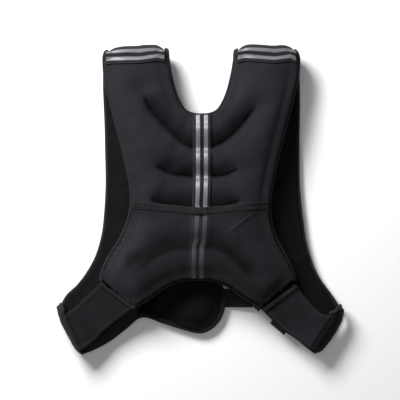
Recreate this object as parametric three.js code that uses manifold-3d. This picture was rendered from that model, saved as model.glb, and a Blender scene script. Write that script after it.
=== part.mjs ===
// A weighted vest of quilted neoprene, lying on its front with its back up.
// X runs across the back, Y up the spine to the shoulders and Z up from the surface it lies on.
// Each shoulder strap folds over from the back panel to a front panel. A woven band joins the
// wing of the back panel to the wing of the front panel at each side.

import * as THREE from "three";
import Module from "manifold-3d";

const wasm = await Module();
wasm.setup();

// Driving sizes, in millimetres
const LENGTH = 493; // from the shoulder folds down to the lowest wing
const SHOULDER_SPAN = 311; // across the outer edges of both shoulder straps
const BACK_THICKNESS = 27; // the filled back panel
const FRONT_THICKNESS = 20; // the filled front panels
const SHOULDER_THICKNESS = 16;
const TORSO_GAP = 12; // between the two linings
const RIM = 6; // the cloth layers at a bound edge
const ROLL = 26; // width over which the filling rounds off to a bound edge
const WING_TAPER = 55; // length over which the filling thins towards a side band
const FILL_LENGTH = 90; // length over which the filling thickens below the shoulder fold
const BINDING_WIDTH = 6;
const BINDING_HEIGHT = 8;
const CHANNEL_DEPTH = 9; // the sewn channels across the back
const CHANNEL_WIDTH = 20;
const LEAN = 6; // the lower back lies this far to the left of the shoulders
const LEAN_FROM = 187; // down the back, where it starts to lean and where it has leant
const LEAN_TO = 325;
const WEBBING_WIDTH = 29;
const WEBBING = 1.6;
const STRIPE_WIDTH = 7;
const STRIPE_SPACING = 12.4; // between the middles of two reflective stripes
const STRIPE = 0.5;
const SHOULDER_SEAM = 5; // behind the start of the shoulder fold, along the outer face
const NET = 1.2; // the mesh of the pocket
const POCKET_HEM = 2.8;
const BAND = 3; // the woven side bands
const BAND_SAG = 3; // how far a band hangs between its seam and its fold
const BAND_HEM = 6.4;
const NET_REST = 32; // the mesh comes down from the tape to the panel this far from the spine
const STRAP_TUCK = 8; // how far the waist strap reaches under the left front panel
const BUCKLE_LENGTH = 28;
const BUCKLE_WIDTH = 34;
const BUCKLE_THICKNESS = 9;
const CLEARANCE = 0.3;

const HALF_SPAN = SHOULDER_SPAN / 2;
const FOLD_RADIUS = TORSO_GAP / 2;
const FOLD_OUTER = FOLD_RADIUS + SHOULDER_THICKNESS;
const FOLD_ARC = Math.PI * FOLD_OUTER;
const FOLD_Y = LENGTH / 2 - FOLD_OUTER;
const FOLD_Z = FRONT_THICKNESS + FOLD_RADIUS;
const EDGE = BINDING_WIDTH + CLEARANCE; // from an outline in to the edge of its panel
const COLUMNS = 8; // facets across a panel, from one edge to the other
const NEAR_ROW = 0.34; // a station this close to a marked row lies on it
const SEAM_ROW = 0.02; // what is left free between two skins, as a share of a row
const BAND_STEPS = 6; // facets along a band between two stations

const BACK = 1;
const FRONT = -1;
const LEFT = -1;
const RIGHT = 1;

// Outlines. Columns named Out are shares of HALF_SPAN from the spine, columns named Down are
// shares of LENGTH from the shoulder folds. A row is one line across a strap, panel or wing.
const SHOULDER_ROW = { innerOut: 0.323, outerOut: 0.998 };
const FOLD_ROW = { innerOut: 0.325, outerOut: 0.985 };
const BACK_ROWS = [
  { innerOut: 0.306, innerDown: 0.073, outerOut: 0.993, outerDown: 0.08 },
  { innerOut: 0.283, innerDown: 0.111, outerOut: 0.978, outerDown: 0.118 },
  { innerOut: 0.253, innerDown: 0.15, outerOut: 0.953, outerDown: 0.156 },
  { innerOut: 0.212, innerDown: 0.185, outerOut: 0.924, outerDown: 0.194 },
  { innerOut: 0.157, innerDown: 0.213, outerOut: 0.894, outerDown: 0.232 },
  { innerOut: 0.081, innerDown: 0.225, outerOut: 0.865, outerDown: 0.268 },
  { innerOut: 0, innerDown: 0.227, outerOut: 0.836, outerDown: 0.303, mark: "neck" },
  { innerOut: 0, innerDown: 0.277, outerOut: 0.804, outerDown: 0.344 },
  { innerOut: 0, innerDown: 0.331, outerOut: 0.774, outerDown: 0.385 },
  { innerOut: 0, innerDown: 0.389, outerOut: 0.745, outerDown: 0.427 },
  { innerOut: 0, innerDown: 0.455, outerOut: 0.723, outerDown: 0.468 },
  { innerOut: 0, innerDown: 0.526, outerOut: 0.712, outerDown: 0.508, mark: "pocket" },
  { innerOut: 0, innerDown: 0.549, outerOut: 0.715, outerDown: 0.53, mark: "net" },
  { innerOut: 0, innerDown: 0.585, outerOut: 0.73, outerDown: 0.562 },
  { innerOut: 0, innerDown: 0.625, outerOut: 0.763, outerDown: 0.596 },
  { innerOut: 0, innerDown: 0.668, outerOut: 0.806, outerDown: 0.627 },
  { innerOut: 0, innerDown: 0.713, outerOut: 0.864, outerDown: 0.658 },
  { innerOut: 0, innerDown: 0.758, outerOut: 0.919, outerDown: 0.689, mark: "hem" },
  { innerOut: 0.162, innerDown: 0.764, outerOut: 0.96, outerDown: 0.717 },
  { innerOut: 0.313, innerDown: 0.782, outerOut: 0.983, outerDown: 0.739 },
  { innerOut: 0.455, innerDown: 0.815, outerOut: 0.988, outerDown: 0.755 },
  { innerOut: 0.631, innerDown: 0.846, outerOut: 0.973, outerDown: 0.764 },
];
const LEFT_ROWS = [
  { innerOut: 0.338, innerDown: 0.092, outerOut: 1.0, outerDown: 0.092 },
  { innerOut: 0.318, innerDown: 0.143, outerOut: 1.0, outerDown: 0.143 },
  { innerOut: 0.268, innerDown: 0.194, outerOut: 0.995, outerDown: 0.194 },
  { innerOut: 0.182, innerDown: 0.245, outerOut: 0.988, outerDown: 0.245 },
  { innerOut: 0.101, innerDown: 0.303, outerOut: 0.983, outerDown: 0.296 },
  { innerOut: 0.051, innerDown: 0.366, outerOut: 0.98, outerDown: 0.347 },
  { innerOut: 0.02, innerDown: 0.436, outerOut: 0.976, outerDown: 0.398 },
  { innerOut: 0, innerDown: 0.513, outerOut: 0.974, outerDown: 0.449 },
  { innerOut: -0.03, innerDown: 0.589, outerOut: 0.98, outerDown: 0.5 },
  { innerOut: -0.081, innerDown: 0.659, outerOut: 0.99, outerDown: 0.545 },
  { innerOut: -0.152, innerDown: 0.723, outerOut: 1.003, outerDown: 0.589 },
  { innerOut: -0.217, innerDown: 0.777, outerOut: 1.025, outerDown: 0.627 },
  { innerOut: -0.251, innerDown: 0.818, outerOut: 1.056, outerDown: 0.662, mark: "strap" },
  { innerOut: -0.237, innerDown: 0.857, outerOut: 1.091, outerDown: 0.691 },
  { innerOut: -0.187, innerDown: 0.892, outerOut: 1.131, outerDown: 0.715 },
  { innerOut: -0.096, innerDown: 0.92, outerOut: 1.172, outerDown: 0.736 },
  { innerOut: 0.02, innerDown: 0.931, outerOut: 1.207, outerDown: 0.752 },
  { innerOut: 0.182, innerDown: 0.92, outerOut: 1.237, outerDown: 0.764 },
  { innerOut: 0.384, innerDown: 0.9, outerOut: 1.263, outerDown: 0.774 },
  { innerOut: 0.601, innerDown: 0.88, outerOut: 1.288, outerDown: 0.782 },
  { innerOut: 0.768, innerDown: 0.918, outerOut: 1.328, outerDown: 0.793 },
  { innerOut: 0.922, innerDown: 0.955, outerOut: 1.369, outerDown: 0.806 },
  { innerOut: 1.071, innerDown: 0.981, outerOut: 1.404, outerDown: 0.822 },
  { innerOut: 1.202, innerDown: 0.998, outerOut: 1.427, outerDown: 0.838 },
];
const RIGHT_ROWS = [
  { innerOut: 0.343, innerDown: 0.092, outerOut: 1.0, outerDown: 0.092 },
  { innerOut: 0.333, innerDown: 0.143, outerOut: 1.003, outerDown: 0.143 },
  { innerOut: 0.303, innerDown: 0.194, outerOut: 1.005, outerDown: 0.194 },
  { innerOut: 0.273, innerDown: 0.245, outerOut: 1.003, outerDown: 0.245 },
  { innerOut: 0.268, innerDown: 0.303, outerOut: 1.0, outerDown: 0.296 },
  { innerOut: 0.278, innerDown: 0.366, outerOut: 1.0, outerDown: 0.347 },
  { innerOut: 0.293, innerDown: 0.436, outerOut: 1.0, outerDown: 0.398 },
  { innerOut: 0.313, innerDown: 0.513, outerOut: 1.003, outerDown: 0.449 },
  { innerOut: 0.333, innerDown: 0.583, outerOut: 1.013, outerDown: 0.494 },
  { innerOut: 0.343, innerDown: 0.646, outerOut: 1.03, outerDown: 0.545 },
  { innerOut: 0.384, innerDown: 0.707, outerOut: 1.048, outerDown: 0.589 },
  { innerOut: 0.52, innerDown: 0.742, outerOut: 1.066, outerDown: 0.627 },
  { innerOut: 0.668, innerDown: 0.766, outerOut: 1.101, outerDown: 0.672 },
  { innerOut: 0.735, innerDown: 0.81, outerOut: 1.136, outerDown: 0.707 },
  { innerOut: 0.752, innerDown: 0.862, outerOut: 1.177, outerDown: 0.736 },
  { innerOut: 0.828, innerDown: 0.908, outerOut: 1.222, outerDown: 0.76 },
  { innerOut: 0.939, innerDown: 0.94, outerOut: 1.273, outerDown: 0.782 },
  { innerOut: 1.045, innerDown: 0.97, outerOut: 1.343, outerDown: 0.812 },
  { innerOut: 1.146, innerDown: 0.994, outerOut: 1.409, outerDown: 0.844 },
];

// Sewn channels across the back, each a line of points from left to right
const CHANNELS = [
  [
    { out: -0.569, down: 0.156 },
    { out: -0.518, down: 0.191 },
    { out: -0.336, down: 0.261 },
    { out: -0.165, down: 0.312 },
    { out: 0, down: 0.334 },
    { out: 0.209, down: 0.318 },
    { out: 0.391, down: 0.268 },
    { out: 0.573, down: 0.204 },
  ],
  [
    { out: -0.326, down: 0.411 },
    { out: 0, down: 0.424 },
    { out: 0.31, down: 0.414 },
  ],
  [
    { out: -0.64, down: 0.707 },
    { out: -0.407, down: 0.659 },
    { out: -0.185, down: 0.637 },
    { out: 0.03, down: 0.635 },
    { out: 0.239, down: 0.643 },
    { out: 0.421, down: 0.685 },
    { out: 0.583, down: 0.739 },
  ],
];

// Waves along the top of each shoulder fold, as shares of FOLD_OUTER
const WAVES = [
  { out: 0.32, left: -0.14, right: -0.2 },
  { out: 0.44, left: 0, right: 0 },
  { out: 0.62, left: -0.18, right: -0.11 },
  { out: 0.74, left: -0.18, right: -0.18 },
  { out: 0.9, left: -0.2, right: -0.02 },
  { out: 1, left: -0.27, right: -0.36 },
];

// The middle of the loose end of webbing under the right band, from its end to where it is hidden
const TAIL = [
  { out: 0.765, down: 0.915 },
  { out: 0.948, down: 0.847 },
];

// How much of the filling lies under the bound edges
const LINING_SHARES = { fold: 0.3, back: 0.1, front: 0.55 };

// Points that the top edge and the lower edge of each band pass through, after its seam on the
// back panel. The last station is where the band starts to fold down to the front wing.
const BAND_STATIONS = {
  [LEFT]: [
    { topOut: 1.155, topDown: 0.793, lowOut: 0.932, lowDown: 0.917 },
    { topOut: 1.346, topDown: 0.857, lowOut: 1.175, lowDown: 0.987 },
  ],
  [RIGHT]: [
    { topOut: 1.078, topDown: 0.815, lowOut: 0.815, lowDown: 0.92 },
    { topOut: 1.219, topDown: 0.866, lowOut: 1.058, lowDown: 0.981 },
  ],
};

const { lerp, smoothstep, clamp } = THREE.MathUtils;

// Straight lines between the rows of a table, read at one value of its first column.
function tableAt(table, key, column, value) {
  const next = table.findIndex((row) => row[key] >= value);
  if (next === 0) return table[0][column];
  if (next < 0) return table[table.length - 1][column];
  const share = (value - table[next - 1][key]) / (table[next][key] - table[next - 1][key]);
  return lerp(table[next - 1][column], table[next][column], share);
}

// The run of a point is its way along a strap from the start of the shoulder fold: down the back
// on the back panel, and over the fold and down the front on a front panel.
function runAt(face, down) {
  return down * LENGTH - FOLD_OUTER + (face === FRONT ? FOLD_ARC : 0);
}

// Places a point that lies flat on a pattern, at a height over the lining, in the folded vest.
function lay(face, side, { x: out, y: run }, height) {
  const way = face * run;
  const angle = clamp(-way / FOLD_OUTER, 0, Math.PI);
  const straight = Math.max(way, -way - FOLD_ARC, 0);
  const wave = tableAt(WAVES, "out", side === LEFT ? "left" : "right", out / HALF_SPAN);
  const waving = wave * FOLD_OUTER * (1 - smoothstep(straight, 0, FILL_LENGTH));
  const leaning = LEAN * smoothstep(way, LEAN_FROM, LEAN_TO);
  const radius = FOLD_RADIUS + height;
  const y = FOLD_Y - straight + radius * Math.sin(angle) + waving;
  return new THREE.Vector3(side * out - leaning, y, FOLD_Z + radius * Math.cos(angle));
}

// A closed solid through rings of points, each going once round the section. The number of
// points in a ring is even, and its two halves face each other and are split the same way.
function loft(rings) {
  const count = rings[0].length;
  const faces = [];
  const quad = (a, b, c, d) => faces.push(a, b, c, a, c, d);
  for (let i = 0; i + 1 < rings.length; i++) {
    for (let k = 0; k < count; k++) {
      const next = (k + 1) % count;
      const [a, b] = [i * count + k, i * count + next];
      if (k < count / 2) quad(a, b, b + count, a + count);
      else quad(b, b + count, a + count, a);
    }
  }
  const end = (rings.length - 1) * count;
  for (let k = 0; k + 1 < count / 2; k++) {
    quad(k + 1, k, count - 1 - k, count - 2 - k);
    quad(end + k, end + k + 1, end + count - 2 - k, end + count - 1 - k);
  }
  const vertProperties = new Float32Array(rings.flat().flatMap((p) => p.toArray()));
  const solid = (triVerts) =>
    new wasm.Manifold(new wasm.Mesh({ numProp: 3, vertProperties, triVerts }));
  const made = solid(new Uint32Array(faces));
  return made.volume() > 0 ? made : solid(new Uint32Array(faces.toReversed()));
}

// A mesh of a joined or cut solid, or of a geometry.
function meshOf(shape) {
  if (shape.isBufferGeometry) return new THREE.Mesh(shape);
  const { vertProperties, triVerts } = shape.getMesh();
  const geometry = new THREE.BufferGeometry();
  geometry.setAttribute("position", new THREE.BufferAttribute(vertProperties, 3));
  geometry.setIndex(new THREE.BufferAttribute(triVerts, 1));
  return new THREE.Mesh(geometry);
}

// A ring from the points of an upper and a lower line that face each other.
const ring = (upper, lower) => [...upper, ...lower.toReversed()];

// A bound edge of a panel, read by row number and moved into the panel by a distance. Its
// first point belongs to the row number that it starts at.
function boundEdge(points, inward, start) {
  const curve = new THREE.SplineCurve(points);
  const step = 0.05;
  const at = (u) => curve.getPoint(clamp((u - start) / (points.length - 1), 0, 1));
  return (u, distance) => {
    const along = at(u + step).sub(at(u - step)).normalize();
    if (u === 0) along.set(0, 1);
    const into = new THREE.Vector2(along.y, -along.x).multiplyScalar(inward * distance);
    return at(u).add(into);
  };
}

const pointsOf = (rows, face, out, down) =>
  rows.map((row) => new THREE.Vector2(row[out] * HALF_SPAN, runAt(face, row[down])));

const numbersTo = (count, from, to) =>
  Array.from({ length: count + 1 }, (_, i) => lerp(from, to, i / count));

// A panel's pattern: its edges by row number, and the lines that its filling rounds off to.
function pattern(face, rows) {
  const seam = face === BACK ? -SHOULDER_SEAM + CLEARANCE / 2 : SHOULDER_SEAM + CLEARANCE / 2;
  const lead = [new THREE.Vector2(0, seam)];
  const leadRows = [SHOULDER_ROW];
  if (face === FRONT) {
    lead.push(new THREE.Vector2(0, FOLD_ARC / 2), new THREE.Vector2(0, FOLD_ARC));
    leadRows.push(FOLD_ROW, SHOULDER_ROW);
  }
  const leadPoints = (out) =>
    lead.map((point, i) => new THREE.Vector2(leadRows[i][out] * HALF_SPAN, point.y));
  const inner = [...leadPoints("innerOut"), ...pointsOf(rows, face, "innerOut", "innerDown")];
  const outer = [...leadPoints("outerOut"), ...pointsOf(rows, face, "outerOut", "outerDown")];
  const last = inner.length - 1;
  const rowOf = (mark) => lead.length + rows.findIndex((row) => row.mark === mark);
  const made = { face, last, rowOf, outer: boundEdge(outer, -1, 0) };
  if (face === FRONT) {
    made.inner = boundEdge(inner, 1, 0);
    made.rims = [made.inner, made.outer].map((edge) =>
      numbersTo(last * 2, 0, last).map((u) => edge(u, EDGE)),
    );
  } else {
    // The neck and the hem run on over the spine into their mirror images.
    const mirrored = (row) => inner[row].clone().setX(-inner[row].x);
    const neckPoints = [...inner.slice(0, rowOf("neck") + 1), mirrored(rowOf("neck") - 1)];
    const hemPoints = [mirrored(rowOf("hem") + 1), ...inner.slice(rowOf("hem"))];
    const spine = boundEdge(inner, 1, 0);
    const neck = boundEdge(neckPoints, 1, 0);
    const hem = boundEdge(hemPoints, 1, rowOf("hem") - 1);
    made.inner = (u, distance) => {
      if (u <= rowOf("neck")) {
        const point = neck(u, distance);
        return u < rowOf("neck") ? point : point.setX(0);
      }
      if (u < rowOf("hem")) return spine(u, 0).setX(0);
      const point = hem(u, distance);
      return u > rowOf("hem") ? point : point.setX(0);
    };
    made.rims = [
      numbersTo(16, 0, rowOf("neck")).map((u) => neck(u, EDGE)),
      numbersTo(10, rowOf("hem"), last).map((u) => hem(u, EDGE)),
      numbersTo(last * 2, 0, last).map((u) => made.outer(u, EDGE)),
    ];
  }
  made.end = [made.inner(last, 0), made.outer(last, 0)];
  return made;
}

const back = pattern(BACK, BACK_ROWS);
const markedRows = ["neck", "pocket", "net", "hem"].map(back.rowOf);
back.stations = [0, 0.3, ...numbersTo(Math.round(1.5 * back.last), 1, back.last)].map(
  (u) => markedRows.find((row) => Math.abs(row - u) < NEAR_ROW) ?? u,
);
const fronts = {};
for (const [side, rows] of [
  [LEFT, LEFT_ROWS],
  [RIGHT, RIGHT_ROWS],
]) {
  const front = pattern(FRONT, rows);
  front.stations = [...numbersTo(9, 0, 2), ...numbersTo(front.last - 2, 2, front.last).slice(1)];
  fronts[side] = front;
}

function distanceTo(point, line) {
  let nearest = Infinity;
  for (let i = 0; i + 1 < line.length; i++) {
    const span = line[i + 1].clone().sub(line[i]);
    const share = clamp(point.clone().sub(line[i]).dot(span) / span.lengthSq(), 0, 1);
    nearest = Math.min(nearest, point.distanceTo(line[i].clone().addScaledVector(span, share)));
  }
  return nearest;
}

const channelLines = CHANNELS.map((line) =>
  new THREE.SplineCurve(
    line.map(({ out, down }) => new THREE.Vector2(out * HALF_SPAN, runAt(BACK, down))),
  ).getPoints(4 * line.length),
);

// How far the sewn channels press the outer face down at a point of the back. They go straight
// across under the tape along the spine.
function channelAt(side, point) {
  const beside = point.x * smoothstep(point.x, 0.5 * WEBBING_WIDTH, 1.5 * WEBBING_WIDTH);
  const signed = new THREE.Vector2(side * beside, point.y);
  const distance = Math.min(...channelLines.map((line) => distanceTo(signed, line)));
  return CHANNEL_DEPTH * Math.exp(-((distance / (CHANNEL_WIDTH / 2)) ** 2));
}

// Height of the lining at a bound edge, and the filling's thickness, at a run along a panel.
function sectionAt(face, run) {
  const filled = smoothstep(face === BACK ? run : run - FOLD_ARC, 0, FILL_LENGTH);
  const full = face === BACK ? BACK_THICKNESS : FRONT_THICKNESS;
  const endShare = face === BACK ? LINING_SHARES.back : LINING_SHARES.front;
  const liningShare = lerp(LINING_SHARES.fold, endShare, filled);
  const filling = lerp(SHOULDER_THICKNESS, full, filled) - RIM;
  return { filling, rimHeight: liningShare * filling };
}

// Heights of the lining and the outer face over the flat lining, at a point of a panel.
function heightsAt(panel, side, point) {
  const round = (share) => 1 - (1 - Math.min(share, 1)) ** 2;
  const rim = Math.min(...panel.rims.map((line) => distanceTo(point, line)));
  const body = Math.min(round(rim / ROLL), round(distanceTo(point, panel.end) / WING_TAPER));
  const { filling, rimHeight } = sectionAt(panel.face, point.y);
  const lining = rimHeight * (1 - body);
  const channel = panel.face === BACK ? channelAt(side, point) * body : 0;
  return { lining, outer: lining + RIM + filling * body - channel };
}

// Points across a panel at one of its rows, closer together near its edges. A row that starts
// at the spine goes straight across to the edge of the tape there, which is its second point.
function rowPoints(panel, u) {
  const [inner, outer] = [panel.inner(u, EDGE), panel.outer(u, EDGE)];
  const shares = numbersTo(COLUMNS, 0, 1).map((t) => (t + 0.5 - 0.5 * Math.cos(Math.PI * t)) / 2);
  if (inner.x === 0) {
    const tape = WEBBING_WIDTH / 2 / outer.x;
    const rest = numbersTo(COLUMNS - 1, 0, 1).map((t) => (t + Math.sin((Math.PI * t) / 2)) / 2);
    shares.splice(1, COLUMNS, ...rest.map((share) => lerp(tape, 1, share)));
  }
  const points = shares.map((share) => inner.clone().lerp(outer, share));
  if (inner.x === 0) points[1].setY(inner.y);
  return points;
}

// One side of a panel.
function quilted(panel, side) {
  const rings = panel.stations.map((u) => {
    const points = rowPoints(panel, u);
    const heights = points.map((point) => heightsAt(panel, side, point));
    return ring(
      points.map((point, j) => lay(panel.face, side, point, heights[j].outer)),
      points.map((point, j) => lay(panel.face, side, point, heights[j].lining)),
    );
  });
  return loft(rings);
}

// A folded strip of cloth along a bound edge, as one ring of its rounded section.
function bindingRing(panel, side, edge, u) {
  const sides = 6;
  const middle = edge(u, BINDING_WIDTH / 2);
  const away = edge(u, 0).sub(edge(u, BINDING_WIDTH)).normalize();
  const height = sectionAt(panel.face, middle.y).rimHeight + RIM / 2;
  return Array.from({ length: sides }, (_, k) => {
    const angle = (2 * Math.PI * (k + 0.5)) / sides;
    const point = middle.clone().addScaledVector(away, (Math.cos(angle) * BINDING_WIDTH) / 2);
    return lay(panel.face, side, point, height + (Math.sin(angle) * BINDING_HEIGHT) / 2);
  });
}

const binding = (panel, side, edge) =>
  loft(panel.stations.map((u) => bindingRing(panel, side, edge, u)));

// A binding that runs from the left side over the spine to the right side.
function spanningBinding(rows) {
  const left = rows.map((u) => bindingRing(back, LEFT, back.inner, u));
  const right = rows.toReversed().map((u) => bindingRing(back, RIGHT, back.inner, u));
  return loft([...left, ...right.slice(1)]);
}

// Webbing lies just over a panel, and a stripe just over the webbing.
const TAPE_TOP = CLEARANCE + WEBBING;
const STRIPE_TOP = TAPE_TOP + CLEARANCE + STRIPE;
const STRIPE_EDGES = [-STRIPE_WIDTH, STRIPE_WIDTH].map((width) => (STRIPE_SPACING + width) / 2);

// A strip beside the spine through some distances from it, from one height over the outer face
// to another. It follows the rows of the panel.
function spineStrip(side, places, from, to) {
  const [neck, hem] = ["neck", "hem"].map(back.rowOf);
  const rings = back.stations
    .filter((u) => u >= neck && u <= hem)
    .map((u) => {
      const points = rowPoints(back, u);
      const line = (height) =>
        places.map((place) => {
          const [spine, edge] = points.slice(0, 2).map((point) =>
            lay(BACK, side, point, heightsAt(back, side, point).outer + height),
          );
          return spine.lerp(edge, place / (WEBBING_WIDTH / 2));
        });
      return ring(line(to), line(from));
    });
  return loft(rings);
}

function spineTape() {
  const places = [0, ...STRIPE_EDGES, WEBBING_WIDTH / 2];
  const half = (side) => spineStrip(side, places, CLEARANCE, TAPE_TOP);
  return half(LEFT).add(half(RIGHT));
}

const spineStripe = (side) => spineStrip(side, STRIPE_EDGES, TAPE_TOP + CLEARANCE, STRIPE_TOP);

// A skin on the lower back between two rows, which rises over the tape along the spine.
function backSkin(fromRow, toRow, thickness) {
  const between = back.stations.filter((u) => u > fromRow && u < toRow);
  const half = (side) => {
    const rings = [fromRow, ...between, toRow].map((u) => {
      const points = rowPoints(back, u);
      const heights = points.map((point) => {
        const away = smoothstep(point.x, WEBBING_WIDTH / 2 + BAND, NET_REST);
        const rise = (STRIPE_TOP + CLEARANCE) * (1 - away);
        return heightsAt(back, side, point).outer + rise + CLEARANCE;
      });
      return ring(
        points.map((point, j) => lay(BACK, side, point, heights[j] + thickness)),
        points.map((point, j) => lay(BACK, side, point, heights[j])),
      );
    });
    return loft(rings);
  };
  return half(LEFT).add(half(RIGHT));
}

// A strip of webbing over the shoulder fold, between two places along the outer face. It keeps
// a second clearance, because its facets turn over the fold at other places than the panel's.
function shoulderStrip(side, ways, from, to) {
  const rings = ways.map((way) => {
    const panel = way > -SHOULDER_SEAM ? back : fronts[side];
    const points = rowPoints(panel, 0).map((point) => point.setY(panel.face * way));
    const heights = points.map((point) => heightsAt(panel, side, point).outer + CLEARANCE);
    return ring(
      points.map((point, j) => lay(panel.face, side, point, heights[j] + to)),
      points.map((point, j) => lay(panel.face, side, point, heights[j] + from)),
    );
  });
  return loft(rings);
}

const stripeWays = [-1, 1].map((place) => {
  const middle = -SHOULDER_SEAM + (place * STRIPE_SPACING) / 2;
  return numbersTo(2, middle - STRIPE_WIDTH / 2, middle + STRIPE_WIDTH / 2);
});

function shoulderTape(side) {
  const ends = [-1, 1].map((place) => -SHOULDER_SEAM + (place * WEBBING_WIDTH) / 2);
  const ways = [ends[0], ...stripeWays[0], ...stripeWays[1], ends[1]];
  return shoulderStrip(side, ways, CLEARANCE, TAPE_TOP);
}

// A sheet of cloth about a grid of points on its middle surface.
function cloth(grid, thickness) {
  const near = (line, i) => line[clamp(i, 0, line.length - 1)];
  const normalAt = (i, j) => {
    const along = near(grid, i + 1)[j].clone().sub(near(grid, i - 1)[j]);
    const sideways = near(grid[i], j + 1).clone().sub(near(grid[i], j - 1));
    return along.cross(sideways).normalize();
  };
  const face = (i, distance) =>
    grid[i].map((point, j) => point.clone().addScaledVector(normalAt(i, j), distance));
  return loft(grid.map((_, i) => ring(face(i, thickness / 2), face(i, -thickness / 2))));
}

// Rows of points across a side band, from its seam on the back wing to the end of the front wing.
function bandGrid(side) {
  const front = fronts[side];
  const seamHeight = (panel) => sectionAt(panel.face, panel.end[0].y).rimHeight + RIM / 2;
  const placed = (panel, point) => lay(panel.face, side, point, seamHeight(panel));
  const [seamLow, seamTop] = back.end.map((point) => placed(back, point));
  const [rimLow, rimTop] = front.end.map((point) => placed(front, point));
  const top = [seamTop];
  const low = [seamLow];
  const foldZ = seamTop.z - BAND;
  BAND_STATIONS[side].forEach(({ topOut, topDown, lowOut, lowDown }, i) => {
    const z = foldZ - (i === 0 ? BAND_SAG : 0);
    top.push(new THREE.Vector3(side * topOut * HALF_SPAN, LENGTH / 2 - topDown * LENGTH, z));
    low.push(new THREE.Vector3(side * lowOut * HALF_SPAN, LENGTH / 2 - lowDown * LENGTH, z));
  });
  const startRow = (point, next) =>
    point.clone().add(next.clone().sub(point).setLength(CLEARANCE + BAND / 4));
  top[0] = startRow(top[0], top[1]);
  low[0] = startRow(low[0], low[1]);
  const rimAlong = rimTop.clone().sub(rimLow).setZ(0).normalize();
  const outward = new THREE.Vector3(rimAlong.y, -rimAlong.x, 0).multiplyScalar(side);
  const clear = BAND + CLEARANCE; // the corners of the wing reach a little past its end line
  [rimTop, rimLow].forEach((point) => point.addScaledVector(outward, clear));
  const edge = (stations, rim) => {
    const flat = new THREE.CatmullRomCurve3(stations).getPoints(BAND_STEPS);
    const fold = stations[stations.length - 1];
    const turned = numbersTo(5, 0, Math.PI / 2)
      .slice(1)
      .map((angle) => {
        const plan = fold.clone().lerp(rim, Math.sin(angle));
        return plan.setZ(lerp(rim.z, fold.z, Math.cos(angle)));
      });
    return [...flat, ...turned];
  };
  const tops = edge(top, rimTop);
  const lows = edge(low, rimLow);
  return tops.map((point, i) => numbersTo(5, 0, 1).map((share) => point.clone().lerp(lows[i], share)));
}

// A rounded hem on the top edge of a band, where the band folds down to the front wing.
function bandHem(side) {
  const grid = bandGrid(side);
  const [first, last] = [BAND_STEPS - 1, 2 * BAND_STEPS - 2];
  const rings = grid.slice(first, last).map((row, i) => {
    const sideways = row[0].clone().sub(row[1]).normalize();
    const along = grid[first + i + 1][0].clone().sub(grid[first + i - 1][0]).normalize();
    const up = sideways.clone().cross(along).normalize();
    const middle = row[0].clone().addScaledVector(sideways, BAND_HEM / 2 + 2 * CLEARANCE);
    return Array.from({ length: 6 }, (_, k) => {
      const angle = (Math.PI * k) / 3;
      return middle
        .clone()
        .addScaledVector(sideways, (Math.cos(angle) * BAND_HEM) / 2)
        .addScaledVector(up, (Math.sin(angle) * BAND_HEM) / 2);
    });
  });
  return loft(rings);
}

// A flat strip through some places, each with its height, in one straight line from above.
function straightStrip(places, width, thickness) {
  const sideways = places[1].clone().sub(places[0]).setZ(0).normalize();
  sideways.set(-sideways.y, sideways.x, 0);
  const rings = places.map((place) => {
    const line = (z) =>
      [-1, 1].map((k) =>
        place.clone().addScaledVector(sideways, (k * width) / 2).add(new THREE.Vector3(0, 0, z)),
      );
    return ring(line(thickness / 2), line(-thickness / 2));
  });
  return loft(rings);
}

// The waist strap crosses from under the left front panel to the buckle at the right one.
const strapY = LENGTH / 2 - LENGTH * LEFT_ROWS.find((row) => row.mark === "strap").innerDown;
const rimZ = FRONT_THICKNESS - sectionAt(FRONT, 2 * FOLD_ARC + FILL_LENGTH).rimHeight - RIM / 2;

// How far from the spine the inner edge of a front panel lies, at the least, beside the strap.
function besideStrap(side, width) {
  const { inner, last } = fronts[side];
  const points = numbersTo(8 * last, last / 2, last).map((u) => inner(u, 0));
  const beside = points.filter((point) => {
    return Math.abs(lay(FRONT, side, point, 0).y - strapY) <= width / 2;
  });
  return Math.min(...beside.map((point) => point.x));
}

const buckleEnd = besideStrap(RIGHT, BUCKLE_WIDTH) - CLEARANCE;

function waistStrap() {
  const lobe = -besideStrap(LEFT, 0.2 * WEBBING_WIDTH);
  const under = rimZ - BINDING_HEIGHT / 2 - CLEARANCE - WEBBING / 2;
  const places = [
    [lobe - STRAP_TUCK, under],
    [lobe + CLEARANCE, under],
    [buckleEnd - BUCKLE_LENGTH - CLEARANCE, rimZ],
  ];
  const along = places.map(([x, z]) => new THREE.Vector3(x, strapY, z));
  return straightStrip(along, WEBBING_WIDTH, WEBBING);
}

function buckle() {
  const radius = BUCKLE_WIDTH / 6;
  const [x0, x1] = [buckleEnd - BUCKLE_LENGTH, buckleEnd];
  const [y0, y1] = [strapY - BUCKLE_WIDTH / 2, strapY + BUCKLE_WIDTH / 2];
  const outline = new THREE.Shape();
  outline.moveTo(x0, y0);
  outline.lineTo(x1 - radius, y0);
  outline.quadraticCurveTo(x1, y0, x1, y0 + radius);
  outline.lineTo(x1, y1 - radius);
  outline.quadraticCurveTo(x1, y1, x1 - radius, y1);
  outline.lineTo(x0, y1);
  const options = { depth: BUCKLE_THICKNESS, bevelEnabled: false, curveSegments: 4 };
  const geometry = new THREE.ExtrudeGeometry(outline, options);
  return geometry.translate(0, 0, rimZ - BUCKLE_THICKNESS / 2);
}

// The loose end of webbing lies on the lining of the right wing, and shows below the band.
function strapTail() {
  const z = FRONT_THICKNESS + CLEARANCE + WEBBING / 2;
  const places = TAIL.map(
    ({ out, down }) => new THREE.Vector3(out * HALF_SPAN, LENGTH / 2 - down * LENGTH, z),
  );
  return straightStrip(places, WEBBING_WIDTH, WEBBING);
}

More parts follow.
